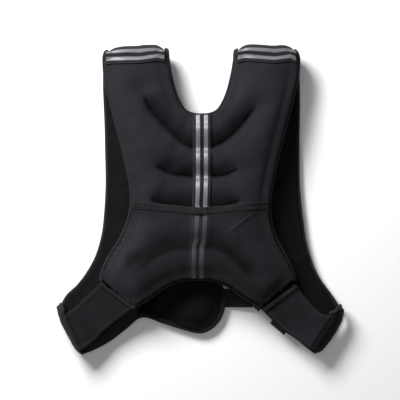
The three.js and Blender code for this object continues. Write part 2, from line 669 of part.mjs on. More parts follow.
// Finishes
const NEOPRENE = { color: 0x313034, roughness: 0.85 };
const BOUND = { color: 0x29282b, roughness: 0.8 };
const WOVEN = { color: 0x1e1d22, roughness: 0.95 };
const TAPE = { color: 0x19181c, roughness: 0.9 };
const REFLECTIVE = { color: 0xb9b6be, roughness: 0.35 };
const MESH_CLOTH = { color: 0x100f14, roughness: 0.95 };
const PLASTIC = { color: 0x151517, roughness: 0.5 };

const group = new THREE.Group();

function add(name, shape, finish) {
  const mesh = meshOf(shape);
  mesh.material = new THREE.MeshStandardMaterial({ metalness: 0, flatShading: true, ...finish });
  mesh.name = name;
  group.add(mesh);
}

add("back_panel", quilted(back, LEFT).add(quilted(back, RIGHT)), NEOPRENE);
add("neck_binding", spanningBinding(back.stations.filter((u) => u <= back.rowOf("neck"))), BOUND);
add("hem_binding", spanningBinding(back.stations.filter((u) => u >= back.rowOf("hem")).toReversed()), BOUND);
add("spine_tape", spineTape(), TAPE);
add("pocket_hem", backSkin(back.rowOf("pocket"), back.rowOf("net") - SEAM_ROW, POCKET_HEM), BOUND);
add("pocket_net", backSkin(back.rowOf("net"), back.last - SEAM_ROW, NET), MESH_CLOTH);

const SIDES = { left: LEFT, right: RIGHT };
for (const [word, side] of Object.entries(SIDES)) {
  const front = fronts[side];
  add(`front_panel_${word}`, quilted(front, side), NEOPRENE);
  add(`back_binding_${word}`, binding(back, side, back.outer), BOUND);
  add(`front_outer_binding_${word}`, binding(front, side, front.outer), BOUND);
  add(`front_inner_binding_${word}`, binding(front, side, front.inner), BOUND);
  add(`shoulder_tape_${word}`, shoulderTape(side), TAPE);
  add(`spine_stripe_${word}`, spineStripe(side), REFLECTIVE);
  ["upper", "lower"].forEach((place, i) => {
    const stripe = shoulderStrip(side, stripeWays[i], TAPE_TOP + CLEARANCE, STRIPE_TOP);
    add(`shoulder_stripe_${place}_${word}`, stripe, REFLECTIVE);
  });
  add(`side_band_${word}`, cloth(bandGrid(side), BAND), WOVEN);
  add(`band_hem_${word}`, bandHem(side), WOVEN);
}

add("waist_strap", waistStrap(), TAPE);
add("waist_buckle", buckle(), PLASTIC);
add("strap_tail", strapTail(), TAPE);

// The origin is the middle of the underside.
const box = new THREE.Box3().setFromObject(group);
const middle = box.getCenter(new THREE.Vector3());
group.position.set(-middle.x, -middle.y, -box.min.z);

export default group;
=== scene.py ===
"""Dresses the weighted vest: padded panels, bound edges, webbing, net pocket and side bands.

Lengths in tables are in millimetres, pieces are made in metres. X runs across the back, Y up the
spine to the shoulders and Z up from the surface that the vest lies on.
"""

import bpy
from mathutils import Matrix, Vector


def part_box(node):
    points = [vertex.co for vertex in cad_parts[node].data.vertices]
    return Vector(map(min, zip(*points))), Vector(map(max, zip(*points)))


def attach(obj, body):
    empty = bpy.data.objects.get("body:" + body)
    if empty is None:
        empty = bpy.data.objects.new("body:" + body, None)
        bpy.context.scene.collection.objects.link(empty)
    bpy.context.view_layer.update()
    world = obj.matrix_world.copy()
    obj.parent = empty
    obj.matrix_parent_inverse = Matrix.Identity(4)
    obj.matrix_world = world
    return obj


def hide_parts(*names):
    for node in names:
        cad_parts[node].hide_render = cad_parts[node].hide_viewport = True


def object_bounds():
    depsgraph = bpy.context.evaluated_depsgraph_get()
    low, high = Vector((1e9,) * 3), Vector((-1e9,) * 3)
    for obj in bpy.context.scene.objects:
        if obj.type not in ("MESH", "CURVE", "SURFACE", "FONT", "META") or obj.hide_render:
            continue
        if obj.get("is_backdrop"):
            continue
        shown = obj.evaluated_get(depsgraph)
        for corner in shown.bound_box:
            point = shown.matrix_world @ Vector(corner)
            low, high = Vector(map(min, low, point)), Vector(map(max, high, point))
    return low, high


bl_info = {
    "name": "Weighted Vest",
    "version": (1, 0, 0),
    "blender": (4, 5, 0),
    "location": "View3D > Sidebar > Vest",
    "description": "Builds the panels, bindings, webbing, pocket and bands of a weighted vest",
    "category": "Object",
}

import math
from types import SimpleNamespace

import bmesh
import bpy
import numpy as np
from bpy.props import FloatProperty, FloatVectorProperty, PointerProperty
from bpy.types import Operator, Panel, PropertyGroup
from mathutils import Matrix, Vector, noise
from mathutils.bvhtree import BVHTree
from mathutils.kdtree import KDTree

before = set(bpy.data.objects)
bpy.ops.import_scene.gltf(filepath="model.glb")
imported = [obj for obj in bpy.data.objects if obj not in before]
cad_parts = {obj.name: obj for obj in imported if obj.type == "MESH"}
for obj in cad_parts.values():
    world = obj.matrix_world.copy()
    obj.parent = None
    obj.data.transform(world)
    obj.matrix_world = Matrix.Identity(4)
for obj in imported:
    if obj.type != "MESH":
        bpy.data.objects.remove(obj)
CAD_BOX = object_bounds()

MM = 0.001
UP = Vector((0, 0, 1))

# The pattern that the vest is cut to

LENGTH = 493
SHOULDER_SPAN = 311
BACK_THICKNESS = 27
FRONT_THICKNESS = 20
SHOULDER_THICKNESS = 16
TORSO_GAP = 12
RIM = 6
FILL_LENGTH = 90
BINDING_WIDTH = 6
LEAN = 6
LEAN_FROM = 187
LEAN_TO = 325
SHOULDER_SEAM = 5
CLEARANCE = 0.3
SPINE = (1.62, 1.24)  # where the pattern's origin lies in the frame

HALF_SPAN = SHOULDER_SPAN / 2
FOLD_RADIUS = TORSO_GAP / 2
FOLD_OUTER = FOLD_RADIUS + SHOULDER_THICKNESS
FOLD_ARC = math.pi * FOLD_OUTER
FOLD_Y = LENGTH / 2 - FOLD_OUTER
FOLD_Z = FRONT_THICKNESS + FOLD_RADIUS
EDGE = BINDING_WIDTH + CLEARANCE

BACK, FRONT = 1, -1
LEFT, RIGHT = -1, 1
WORDS = {LEFT: "left", RIGHT: "right"}

# Columns: inner out, inner down, outer out, outer down. Out is a share of HALF_SPAN from the
# spine, down a share of LENGTH from the shoulder folds.
SHOULDER_ROW = (0.323, 0.998)
FOLD_ROW = (0.325, 0.985)
BACK_ROWS = [
    (0.306, 0.073, 0.993, 0.08), (0.283, 0.111, 0.978, 0.118), (0.253, 0.15, 0.953, 0.156),
    (0.212, 0.185, 0.924, 0.194), (0.157, 0.213, 0.894, 0.232), (0.081, 0.225, 0.865, 0.268),
    (0, 0.227, 0.836, 0.303), (0, 0.277, 0.804, 0.344), (0, 0.331, 0.774, 0.385),
    (0, 0.389, 0.745, 0.427), (0, 0.455, 0.723, 0.468), (0, 0.526, 0.712, 0.508),
    (0, 0.549, 0.715, 0.53), (0, 0.585, 0.73, 0.562), (0, 0.625, 0.763, 0.596),
    (0, 0.668, 0.806, 0.627), (0, 0.713, 0.864, 0.658), (0, 0.758, 0.919, 0.689),
    (0.162, 0.764, 0.96, 0.717), (0.313, 0.782, 0.983, 0.739), (0.455, 0.815, 0.988, 0.755),
    (0.631, 0.846, 0.973, 0.764),
]
NECK_ROW, POCKET_ROW, NET_ROW, HEM_ROW = 7, 12, 13, 18  # counted with the seam's row
LEFT_ROWS = [
    (0.338, 0.092, 1.0, 0.092), (0.318, 0.143, 1.0, 0.143), (0.268, 0.194, 0.995, 0.194),
    (0.182, 0.245, 0.988, 0.245), (0.101, 0.303, 0.983, 0.296), (0.051, 0.366, 0.98, 0.347),
    (0.02, 0.436, 0.976, 0.398), (0, 0.513, 0.974, 0.449), (-0.03, 0.589, 0.98, 0.5),
    (-0.081, 0.659, 0.99, 0.545), (-0.152, 0.723, 1.003, 0.589), (-0.217, 0.777, 1.025, 0.627),
    (-0.251, 0.818, 1.056, 0.662), (-0.237, 0.857, 1.091, 0.691), (-0.187, 0.892, 1.131, 0.715),
    (-0.096, 0.92, 1.172, 0.736), (0.02, 0.931, 1.207, 0.752), (0.182, 0.92, 1.237, 0.764),
    (0.384, 0.9, 1.263, 0.774), (0.601, 0.88, 1.288, 0.782), (0.768, 0.918, 1.328, 0.793),
    (0.922, 0.955, 1.369, 0.806), (1.071, 0.981, 1.404, 0.822), (1.202, 0.998, 1.427, 0.838),
]
RIGHT_ROWS = [
    (0.343, 0.092, 1.0, 0.092), (0.333, 0.143, 1.003, 0.143), (0.303, 0.194, 1.005, 0.194),
    (0.273, 0.245, 1.003, 0.245), (0.268, 0.303, 1.0, 0.296), (0.278, 0.366, 1.0, 0.347),
    (0.293, 0.436, 1.0, 0.398), (0.313, 0.513, 1.003, 0.449), (0.333, 0.583, 1.013, 0.494),
    (0.343, 0.646, 1.03, 0.545), (0.384, 0.707, 1.048, 0.589), (0.52, 0.742, 1.066, 0.627),
    (0.668, 0.766, 1.101, 0.672), (0.735, 0.81, 1.136, 0.707), (0.752, 0.862, 1.177, 0.736),
    (0.828, 0.908, 1.222, 0.76), (0.939, 0.94, 1.273, 0.782), (1.045, 0.97, 1.343, 0.812),
    (1.146, 0.994, 1.409, 0.844),
]

# Sewn channels: points from left to right, (out, down), how far each presses the solid's face in,
# or raises it where that is negative, how far it slopes above its seam and below it, and how much
# shade is painted on its slope above and in its crease.
CHANNELS = [
    SimpleNamespace(depth=6.8, above=22, below=4.5, shade=0.97, points=[
        (-0.585, 0.168), (-0.518, 0.214), (-0.336, 0.278), (-0.165, 0.326), (0, 0.343),
        (0.209, 0.322), (0.391, 0.272), (0.575, 0.196)]),
    SimpleNamespace(depth=4.8, above=20, below=4.2, shade=0.9, points=[
        (-0.48, 0.39), (-0.33, 0.417), (-0.15, 0.427), (0, 0.43), (0.13, 0.428),
        (0.26, 0.422), (0.39, 0.4)]),
    SimpleNamespace(depth=6, above=21, below=3.5, shade=0.95, points=[
        (-0.52, 0.496), (-0.4, 0.514), (-0.2, 0.524), (0, 0.529), (0.18, 0.526), (0.3, 0.518),
        (0.42, 0.502)]),
    SimpleNamespace(depth=-3, above=14, below=10, shade=0.7, points=[
        (-0.68, 0.75), (-0.5, 0.702), (-0.3, 0.662), (0.03, 0.648), (0.239, 0.658),
        (0.421, 0.702), (0.62, 0.78)]),
]

# Waves along the top of each shoulder fold, as shares of FOLD_OUTER: out, left, right
WAVES = [
    (0.32, -0.14, -0.2), (0.44, 0, 0), (0.62, -0.18, -0.11), (0.74, -0.18, -0.18),
    (0.9, -0.2, -0.02), (1, -0.27, -0.36),
]

# How much of the filling lies under the bound edges
LINING_SHARES = {"fold": 0.3, BACK: 0.1, FRONT: 0.55}

# The top edge and the lower edge of each band after its seam, out to where it folds down:
# top out, top down, low out, low down
BAND_STATIONS = {
    LEFT: [(1.155, 0.807, 0.945, 0.911), (1.262, 0.84, 1.08, 0.954), (1.378, 0.866, 1.215, 0.985)],
    RIGHT: [(1.078, 0.822, 0.815, 0.914), (1.215, 0.864, 0.96, 0.946), (1.33, 0.866, 1.103, 0.98)],
}


def clamp(value, low, high):
    return max(low, min(high, value))


def lerp(a, b, share):
    return a + (b - a) * share


def smooth(value, low, high):
    share = clamp((value - low) / (high - low), 0, 1)
    return share * share * (3 - 2 * share)


def ease(values, low, high):
    """The same as smooth, for an array."""
    share = np.clip((values - low) / (high - low), 0, 1)
    return share * share * (3 - 2 * share)


def spread(count, low=0.0, high=1.0):
    """Evenly spaced numbers from low to high, both of them in it."""
    return [lerp(low, high, i / count) for i in range(count + 1)]


def run_at(face, down):
    return down * LENGTH - FOLD_OUTER + (FOLD_ARC if face == FRONT else 0)


def wave_at(side, out):
    column = 1 if side == LEFT else 2
    return float(np.interp(out / HALF_SPAN, [w[0] for w in WAVES], [w[column] for w in WAVES]))


def lay(face, side, out, run, height):
    """Places a point of the flat pattern, at a height over the lining, in the folded vest."""
    way = face * run
    angle = clamp(-way / FOLD_OUTER, 0, math.pi)
    straight = max(way, -way - FOLD_ARC, 0)
    waving = wave_at(side, out) * FOLD_OUTER * (1 - smooth(straight, 0, FILL_LENGTH))
    radius = FOLD_RADIUS + height
    x = side * out - LEAN * smooth(way, LEAN_FROM, LEAN_TO) + SPINE[0]
    y = FOLD_Y - straight + radius * math.sin(angle) + waving + SPINE[1]
    return Vector((x, y, FOLD_Z + radius * math.cos(angle))) * MM


def spline(points, u):
    """A smooth curve through points, read by row number."""
    last = len(points) - 1
    u = clamp(u, 0, last)
    i = min(int(u), last)
    w = u - i
    a, b = points[max(i - 1, 0)], points[i]
    c, d = points[min(i + 1, last)], points[min(i + 2, last)]
    v0, v1 = (c - a) / 2, (d - b) / 2
    cubic = (b * 2 - c * 2 + v0 + v1) * w ** 3
    return cubic + (c * 3 - b * 3 - v0 * 2 - v1) * w ** 2 + v0 * w + b


def bound_edge(points, inward, start=0):
    """A bound edge of a panel, read by row number and moved into the panel by a distance."""
    step = 0.05

    def at(u):
        return spline(points, u - start)

    def edge(u, distance):
        along = (at(u + step) - at(u - step)).normalized()
        if u == 0:
            along = Vector((0, 1))
        return at(u) + Vector((along.y, -along.x)) * inward * distance

    return edge


def pattern(face, rows):
    """The edges of a panel in the flat pattern, from a table of rows."""
    seam = (-SHOULDER_SEAM if face == BACK else SHOULDER_SEAM) + CLEARANCE / 2
    lead = [(seam, SHOULDER_ROW)]
    if face == FRONT:
        lead += [(FOLD_ARC / 2, FOLD_ROW), (FOLD_ARC, SHOULDER_ROW)]

    def edge_points(k):
        start = [Vector((row[k] * HALF_SPAN, run)) for run, row in lead]
        return start + [
            Vector((row[2 * k] * HALF_SPAN, run_at(face, row[2 * k + 1]))) for row in rows
        ]

    inner, outer = edge_points(0), edge_points(1)
    last = len(inner) - 1
    made = SimpleNamespace(face=face, last=last, outer=bound_edge(outer, -1))
    if face == FRONT:
        made.inner = bound_edge(inner, 1)
        return made

    def mirror(row):
        return Vector((-inner[row].x, inner[row].y))

    neck = bound_edge(inner[:NECK_ROW + 1] + [mirror(NECK_ROW - 1)], 1)
    hem = bound_edge([mirror(HEM_ROW + 1)] + inner[HEM_ROW:], 1, HEM_ROW - 1)
    made.neck, made.hem, made.spine = neck, hem, bound_edge(inner, 1)
    return made


back = pattern(BACK, BACK_ROWS)
fronts = {LEFT: pattern(FRONT, LEFT_ROWS), RIGHT: pattern(FRONT, RIGHT_ROWS)}


def rim_height(face, run):
    """Height of the lining at a bound edge, at a run along a panel."""
    filled = smooth(run if face == BACK else run - FOLD_ARC, 0, FILL_LENGTH)
    full = BACK_THICKNESS if face == BACK else FRONT_THICKNESS
    filling = lerp(SHOULDER_THICKNESS, full, filled) - RIM
    return lerp(LINING_SHARES["fold"], LINING_SHARES[face], filled) * filling


def plan_of(co):
    """Signed distances from the spine and runs down the back of points in mm seen from above."""
    run = FOLD_Y - (co[:, 1] - SPINE[1])
    return co[:, 0] - SPINE[0] + LEAN * ease(run, LEAN_FROM, LEAN_TO), run


def spine_x(y):
    """X of the spine, in mm, at a height y up the back."""
    return SPINE[0] - LEAN * smooth(FOLD_Y - (y - SPINE[1]), LEAN_FROM, LEAN_TO)


def webbing_x(y):
    """Middle of the webbing at a height y: it strays a little where it bends over the channels."""
    stray = 1.3 + 1.4 * smooth(-y, 6, 14) - 2.4 * smooth(-y, 64, 72)
    return spine_x(y) + stray


# Sizes and colours

def colour(name, value, words):
    return FloatVectorProperty(
        name=name, subtype="COLOR", size=3, min=0, max=1, default=value, description=words
    )


def size(name, value, words):
    return FloatProperty(name=name, default=value * MM, unit="LENGTH", description=words)


class VestSizes(PropertyGroup):
    webbing: size("Webbing width", 29, "Width of the webbing on the spine and the shoulders")
    stripe: size("Stripe width", 7, "Width of a reflective stripe")
    stripe_spacing: size("Stripe spacing", 12.4, "Between the middles of two stripes")
    net_pitch: size("Net pitch", 3.3, "Between two holes of the net in one row")
    stitch: size("Stitch pitch", 2.9, "Between two stitches of a seam")
    band: size("Band thickness", 2.6, "Thickness of the woven side bands")
    voxel: size("Skin facets", 4, "Facets of a panel's skin before it is filled")
    pressure: FloatProperty(
        name="Filling pressure", default=4, min=0, description="Pressure of the filling on the skin"
    )


class VestColours(PropertyGroup):
    neoprene: colour("Neoprene", (0.0165, 0.0152, 0.019), "Knit face of the panels")
    lining: colour("Lining", (0.0055, 0.0054, 0.006), "Smooth inner face of the panels")
    # Painted shade: near black, where the neoprene lies in shade under the net.
    shade_under_net: colour("Backing", (0.0015, 0.0014, 0.0018), "Cloth behind the net")
    binding: colour("Binding", (0.011, 0.0104, 0.0125), "Folded strip along the edges")
    band: colour("Band", (0.013, 0.0124, 0.015), "Woven side bands")
    webbing: colour("Webbing", (0.0145, 0.0136, 0.0165), "Ribbed webbing")
    stripe: colour("Stripe", (0.165, 0.16, 0.176), "Reflective stripes")
    net: colour("Net", (0.04, 0.038, 0.0455), "Strands of the net")
    thread: colour("Thread", (0.046, 0.044, 0.051), "Stitches")
    # A lighter copy of the band's cloth: painted light on the rolled hems, which catch the light
    # above.
    hem: colour("Band hem", (0.026, 0.025, 0.029), "Rolled hems of the side bands")
    plastic: colour("Plastic", (0.012, 0.012, 0.013), "Waist buckle")
    floor: colour("Floor", (0.9, 0.9, 0.9), "Studio floor")


# Finishes

class Finish:
    """A material under construction, with short calls for its nodes."""

    def __init__(self, name, base, roughness, sheen=0.0, metallic=0.0, gloss=0.12):
        self.material = bpy.data.materials.new(name)
        self.material.use_nodes = True
        self.tree = self.material.node_tree
        self.shader = next(n for n in self.tree.nodes if n.type == "BSDF_PRINCIPLED")
        self.base = (*base, 1)
        self.shader.inputs["Base Color"].default_value = self.base
        self.shader.inputs["Roughness"].default_value = roughness
        self.shader.inputs["Metallic"].default_value = metallic
        self.shader.inputs["Sheen Weight"].default_value = sheen
        self.shader.inputs["Sheen Roughness"].default_value = 0.45
        self.shader.inputs["Specular IOR Level"].default_value = gloss
        self.height = None

    def node(self, kind, values=None, **settings):
        made = self.tree.nodes.new(kind)
        for key, value in settings.items():
            setattr(made, key, value)
        for key, value in (values or {}).items():
            if isinstance(value, bpy.types.NodeSocket):
                self.tree.links.new(value, made.inputs[key])
            else:
                made.inputs[key].default_value = value
        return made

    def place(self, source, scale=(1, 1, 1), turn=0.0):
        """Coordinates from the object or the piece's own UV map, scaled and turned."""
        at = self.node("ShaderNodeTexCoord").outputs[source]
        values = {"Vector": at, "Scale": scale, "Rotation": (0, 0, turn)}
        return self.node("ShaderNodeMapping", values).outputs["Vector"]

    def math(self, kind, a, b=0.0):
        return self.node("ShaderNodeMath", {0: a, 1: b}, operation=kind).outputs[0]

    def noise(self, vector, scale, detail=3.0, roughness=0.5):
        values = {"Vector": vector, "Scale": scale, "Detail": detail, "Roughness": roughness}
        return self.node("ShaderNodeTexNoise", values).outputs["Fac"]

    def wave(self, vector, pitch, direction="X"):
        """Ridges across a direction, one to each pitch in metres."""
        values = {"Vector": vector, "Scale": math.pi / 10 / pitch}
        made = self.node("ShaderNodeTexWave", values, wave_type="BANDS", bands_direction=direction)
        return made.outputs["Fac"]

    def between(self, value, low, high, to_low=0.0, to_high=1.0):
        values = {"Value": value, "From Min": low, "From Max": high}
        values |= {"To Min": to_low, "To Max": to_high}
        return self.node("ShaderNodeMapRange", values).outputs["Result"]

    def tint(self, mask, low, high):
        """The base colour from darker to lighter by a mask from 0 to 1."""
        below = [c * low for c in self.base[:3]] + [1]
        above = [min(1, c * high) for c in self.base[:3]] + [1]
        mix = self.node("ShaderNodeMix", {"Factor": mask}, data_type="RGBA")
        mix.inputs[6].default_value = below
        mix.inputs[7].default_value = above
        return mix.outputs[2]

    def pressed_with_painted_shade(self, base, low):
        """A colour darkened by painted shade where the piece's own attribute is above 0, and
        lightened by painted light where it is below 0."""
        painted_shading = self.node("ShaderNodeAttribute", attribute_name="painted_shading").outputs["Fac"]
        share = self.between(painted_shading, -1, 1, 2 - low, low)
        mix = self.node("ShaderNodeMix", data_type="RGBA", blend_type="MULTIPLY")
        mix.inputs[0].default_value = 1
        self.tree.links.new(base, mix.inputs[6])
        self.tree.links.new(share, mix.inputs[7])
        return mix.outputs[2]

    def bump(self, height, distance, strength=1.0):
        values = {"Height": height, "Distance": distance, "Strength": strength}
        made = self.node("ShaderNodeBump", values)
        if self.height is not None:
            self.tree.links.new(self.height, made.inputs["Normal"])
        self.height = made.outputs["Normal"]
        self.tree.links.new(self.height, self.shader.inputs["Normal"])

    def colour(self, socket):
        self.tree.links.new(socket, self.shader.inputs["Base Color"])

    def roughness(self, socket):
        self.tree.links.new(socket, self.shader.inputs["Roughness"])


def knit(made, seed):
    """Jersey over foam rubber: fine ribs of the knit, faint mottling and lint."""
    at = made.place("Object")
    ribs = made.math("MULTIPLY", made.wave(at, 0.0011), made.wave(at, 0.0014, "Y"))
    grain = made.noise(at, 1400, 4, 0.6)
    cloud = made.noise(at, 22 + seed, 5, 0.55)
    wear = made.between(made.noise(at, 160, 6, 0.7), 0.62, 0.78)
    mask = made.math("ADD", made.math("MULTIPLY", cloud, 0.7), made.math("MULTIPLY", wear, 0.35))
    shade = made.math("ADD", mask, made.math("MULTIPLY", grain, 0.25))
    # Painted shade and painted light from the piece's attribute, over the knit's own mottling.
    made.colour(made.pressed_with_painted_shade(made.tint(made.between(shade, 0.25, 0.85), 0.82, 1.3), 0.12))
    made.roughness(made.between(cloud, 0.3, 0.7, 0.76, 0.9))
    made.bump(cloud, 0.0006, 0.5)
    made.bump(ribs, 0.00018, 0.6)
    made.bump(grain, 0.00012, 0.5)
    return made.material


def neoprene_finish(colours):
    return knit(Finish("neoprene", colours.neoprene, 0.82, sheen=0.02, gloss=0.05), 0)


def lining_finish(colours):
    return knit(Finish("lining", colours.lining, 0.8, gloss=0.04), 9)


def shade_under_net_finish(colours):
    """A near black knit under the net: painted shade, where the neoprene under the net lies in
    shade.
    """
    made = Finish("shade_under_net", colours.shade_under_net, 0.9, gloss=0.02)
    grain = made.noise(made.place("Object"), 700, 4, 0.6)
    # Painted shade from the piece's attribute.
    made.colour(made.pressed_with_painted_shade(made.tint(grain, 0.7, 1.3), 0.3))
    made.roughness(made.between(grain, 0.3, 0.7, 0.85, 0.95))
    made.bump(grain, 0.00012, 0.5)
    return made.material


def binding_finish(colours):
    """Grosgrain strip: fine ribs across it."""
    made = Finish("binding", colours.binding, 0.75, sheen=0.03, gloss=0.12)
    along = made.place("UV")
    ribs = made.wave(along, 0.0007)
    slub = made.noise(made.place("UV", (1, 6, 1)), 180, 4)
    cloth = made.tint(made.between(made.math("ADD", ribs, slub), 0.3, 1.5), 0.7, 1.4)
    # Painted shade and painted light from the piece's attribute, over the ribs.
    made.colour(made.pressed_with_painted_shade(cloth, 0.15))
    made.roughness(made.between(slub, 0.3, 0.7, 0.7, 0.88))
    made.bump(ribs, 0.00022, 0.8)
    made.bump(slub, 0.0003, 0.4)
    return made.material


def stretch_weave(made):
    """Stretch cloth with a staggered weave."""
    at = made.place("UV", turn=math.radians(45))
    weave = made.math("MULTIPLY", made.wave(at, 0.0022), made.wave(at, 0.0022, "Y"))
    fibre = made.noise(made.place("UV", (1, 8, 1)), 260, 4)
    cloud = made.noise(made.place("Object"), 30, 4)
    mask = made.math("ADD", made.math("MULTIPLY", weave, 0.6), made.math("MULTIPLY", cloud, 0.6))
    # Painted shade and painted light from the piece's attribute, over the weave.
    made.colour(made.pressed_with_painted_shade(made.tint(made.between(mask, 0.2, 0.9), 0.55, 1.5), 0.1))
    made.roughness(made.between(fibre, 0.3, 0.7, 0.78, 0.92))
    made.bump(weave, 0.0006, 0.9)
    made.bump(fibre, 0.00015, 0.5)
    return made.material


def band_finish(colours):
    return stretch_weave(Finish("stretch_band", colours.band, 0.85, sheen=0.03, gloss=0.06))


# The band's weave in a lighter colour: painted light on the rolls.
def hem_finish(colours):
    return stretch_weave(Finish("band_hem", colours.hem, 0.8, sheen=0.03, gloss=0.08))


def webbing_finish(colours):
    """Ribbed webbing: ribs along it and picks across it."""
    made = Finish("webbing", colours.webbing, 0.75, sheen=0.02, gloss=0.1)
    at = made.place("UV")
    ribs = made.wave(at, 0.0018, "Y")
    picks = made.wave(at, 0.0009)
    weave = made.math("ADD", made.math("MULTIPLY", ribs, 0.65), made.math("MULTIPLY", picks, 0.35))
    dust = made.noise(made.place("Object"), 240, 5, 0.6)
    mask = made.math("ADD", weave, made.math("MULTIPLY", dust, 0.4))
    # Painted shade and painted light from the piece's attribute, over the weave.
    made.colour(made.pressed_with_painted_shade(made.tint(made.between(mask, 0.2, 1.2), 0.7, 1.5), 0.2))
    made.roughness(made.between(dust, 0.3, 0.7, 0.72, 0.9))
    made.bump(weave, 0.0003, 0.9)
    return made.material


def stripe_finish(colours):
    """Silver-grey reflective tape: fine lines along it, small scuffs."""
    made = Finish("reflective_stripe", colours.stripe, 0.45, metallic=0.2, gloss=0.35)
    at = made.place("UV")
    lines = made.wave(at, 0.0009, "Y")
    beads = made.noise(at, 2600, 2)
    scuffs = made.between(made.noise(made.place("Object"), 190, 6, 0.7), 0.55, 0.72)
    mask = made.math("SUBTRACT", made.math("ADD", made.math("MULTIPLY", lines, 0.4), 0.5),
                     made.math("MULTIPLY", scuffs, 0.25))
    # Painted shade from the piece's attribute, over the lines and scuffs.
    made.colour(made.pressed_with_painted_shade(made.tint(mask, 0.7, 1.2), 0.2))
    made.roughness(made.between(scuffs, 0, 1, 0.38, 0.62))
    made.bump(lines, 0.00014, 0.7)
    made.bump(beads, 0.00005, 0.5)
    return made.material


def net_finish(colours):
    """Knitted strands of the net."""
    made = Finish("net", colours.net, 0.65, gloss=0.1)
    at = made.place("Object")
    twist = made.noise(at, 1500, 3)
    cloud = made.noise(at, 35, 4)
    strands = made.tint(made.between(made.math("ADD", twist, cloud), 0.6, 1.4), 0.75, 1.3)
    # Painted shade from the piece's attribute, over the strands' own tone.
    made.colour(made.pressed_with_painted_shade(strands, 0.08))
    made.roughness(made.between(twist, 0.3, 0.7, 0.62, 0.82))
    made.bump(twist, 0.00015, 0.7)
    return made.material


def thread_finish(colours):
    made = Finish("thread", colours.thread, 0.55, sheen=0.05, gloss=0.35)
    twist = made.noise(made.place("Object"), 2400, 2)
    made.colour(made.tint(twist, 0.7, 1.4))
    made.bump(twist, 0.0001, 0.6)
    return made.material


def plastic_finish(colours):
    """Moulded acetal with a fine spark texture and rubbed edges."""
    made = Finish("plastic", colours.plastic, 0.5, gloss=0.45)
    at = made.place("Object")
    spark = made.noise(at, 1800, 3)
    rub = made.between(made.noise(at, 120, 6, 0.7), 0.55, 0.75)
    made.colour(made.tint(made.math("ADD", made.math("MULTIPLY", rub, 0.5), 0.25), 0.8, 1.7))
    made.roughness(made.between(rub, 0, 1, 0.46, 0.62))
    made.bump(spark, 0.00008, 0.6)
    return made.material


FINISHES = {
    "neoprene": neoprene_finish, "lining": lining_finish, "shade_under_net": shade_under_net_finish,
    "binding": binding_finish, "band": band_finish, "hem": hem_finish,
    "webbing": webbing_finish, "stripe": stripe_finish, "net": net_finish,
    "thread": thread_finish, "plastic": plastic_finish,
}
made_finishes = {}


def finish(name):
    if name not in made_finishes:
        made_finishes[name] = FINISHES[name](bpy.context.scene.vest_colours)
    return made_finishes[name]


# Making pieces

# Radii of stitches in metres: on bindings and webbing, on hems and bands, over the shoulders and
# along a stripe
THREAD, HEM_THREAD, SHOULDER_THREAD, STRIPE_THREAD = 0.00034, 0.00024, 0.00022, 0.0002
BATCH = 60  # stitches made at a time


def sizes():
    return bpy.context.scene.vest_sizes


def add_piece(name, shape, finishes, slot, nodes=()):
    """A new piece from a bmesh or a mesh, on the vest's one body."""
    if isinstance(shape, bmesh.types.BMesh):
        mesh = bpy.data.meshes.new(name)
        shape.to_mesh(mesh)
        shape.free()
    else:
        mesh = shape
    piece = bpy.data.objects.new(name, mesh)
    bpy.context.scene.collection.objects.link(piece)
    mesh.materials.clear()
    for word in finishes:
        mesh.materials.append(finish(word))
    mesh.shade_smooth()
    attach(piece, "root")
    if nodes:
        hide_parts(*nodes)
    return piece


def strip(name, nodes, word, slot, grid, span, place, thickness, outside=UP, painted_shading=None):
    """A piece of cloth in one finish: a grid of columns and rows whose outer face is laid by a
    function of its shares along and across, given its thickness inwards. Its UV map is in metres,
    over its span. Outside is the way that the middle of its outer face looks, and the last function
    says by the same shares how much shade is painted on the cloth, or painted light below 0."""
    bm = bmesh.new()
    shade = bm.verts.layers.float.new("painted_shading")
    layer = bm.loops.layers.uv.new("UVMap")
    made = bmesh.ops.create_grid(bm, x_segments=grid[0], y_segments=grid[1], size=0.5)["verts"]
    faces = bm.faces[:]
    middle = min(faces, key=lambda face: face.calc_center_median().length)
    for face in faces:
        for loop in face.loops:
            at = loop.vert.co
            loop[layer].uv = ((at.x + 0.5) * span[0], (at.y + 0.5) * span[1])
    tree = KDTree(len(made))
    for index, vert in enumerate(made):
        along, across = vert.co.x + 0.5, vert.co.y + 0.5
        vert.co = place(along, across)
        # Painted shade, or painted light where it is below 0, stored on each point for the finish.
        vert[shade] = painted_shading(along, across) if painted_shading else 0
        tree.insert(vert.co, index)
    tree.balance()
    bm.normal_update()
    if middle.normal.dot(outside) < 0:
        bmesh.ops.reverse_faces(bm, faces=faces)
    outer = set(made)
    bmesh.ops.solidify(bm, geom=faces, thickness=thickness)
    for vert in bm.verts:
        near, _, far = tree.find(vert.co)
        if vert not in outer and far > 1.6 * thickness:
            vert.co = near + (vert.co - near) * (thickness / far)
    return add_piece(name, bm, [word], slot, nodes)


def sew(piece, places, radius=THREAD, length=0.0021):
    """Adds stitches to a piece: places is a list of (point, direction along the seam, normal)."""
    index = len(piece.data.materials)
    piece.data.materials.append(finish("thread"))
    whole = bmesh.new()
    whole.from_mesh(piece.data)
    for start in range(0, len(places), BATCH):
        few = bmesh.new()
        for point, along, normal in places[start:start + BATCH]:
            side = normal.cross(along).normalized()
            up = along.cross(side).normalized()
            turn = Matrix((along.normalized(), side, up)).transposed().to_4x4()
            grow = Matrix.Diagonal((length / 2, radius, radius, 1))
            bmesh.ops.create_icosphere(
                few, subdivisions=1, radius=1, matrix=Matrix.Translation(point) @ turn @ grow
            )
        for face in few.faces:
            face.material_index = index
            face.smooth = True
        mesh = bpy.data.meshes.new("stitches")
        few.to_mesh(mesh)
        few.free()
        whole.from_mesh(mesh)
        bpy.data.meshes.remove(mesh)
    whole.to_mesh(piece.data)
    whole.free()


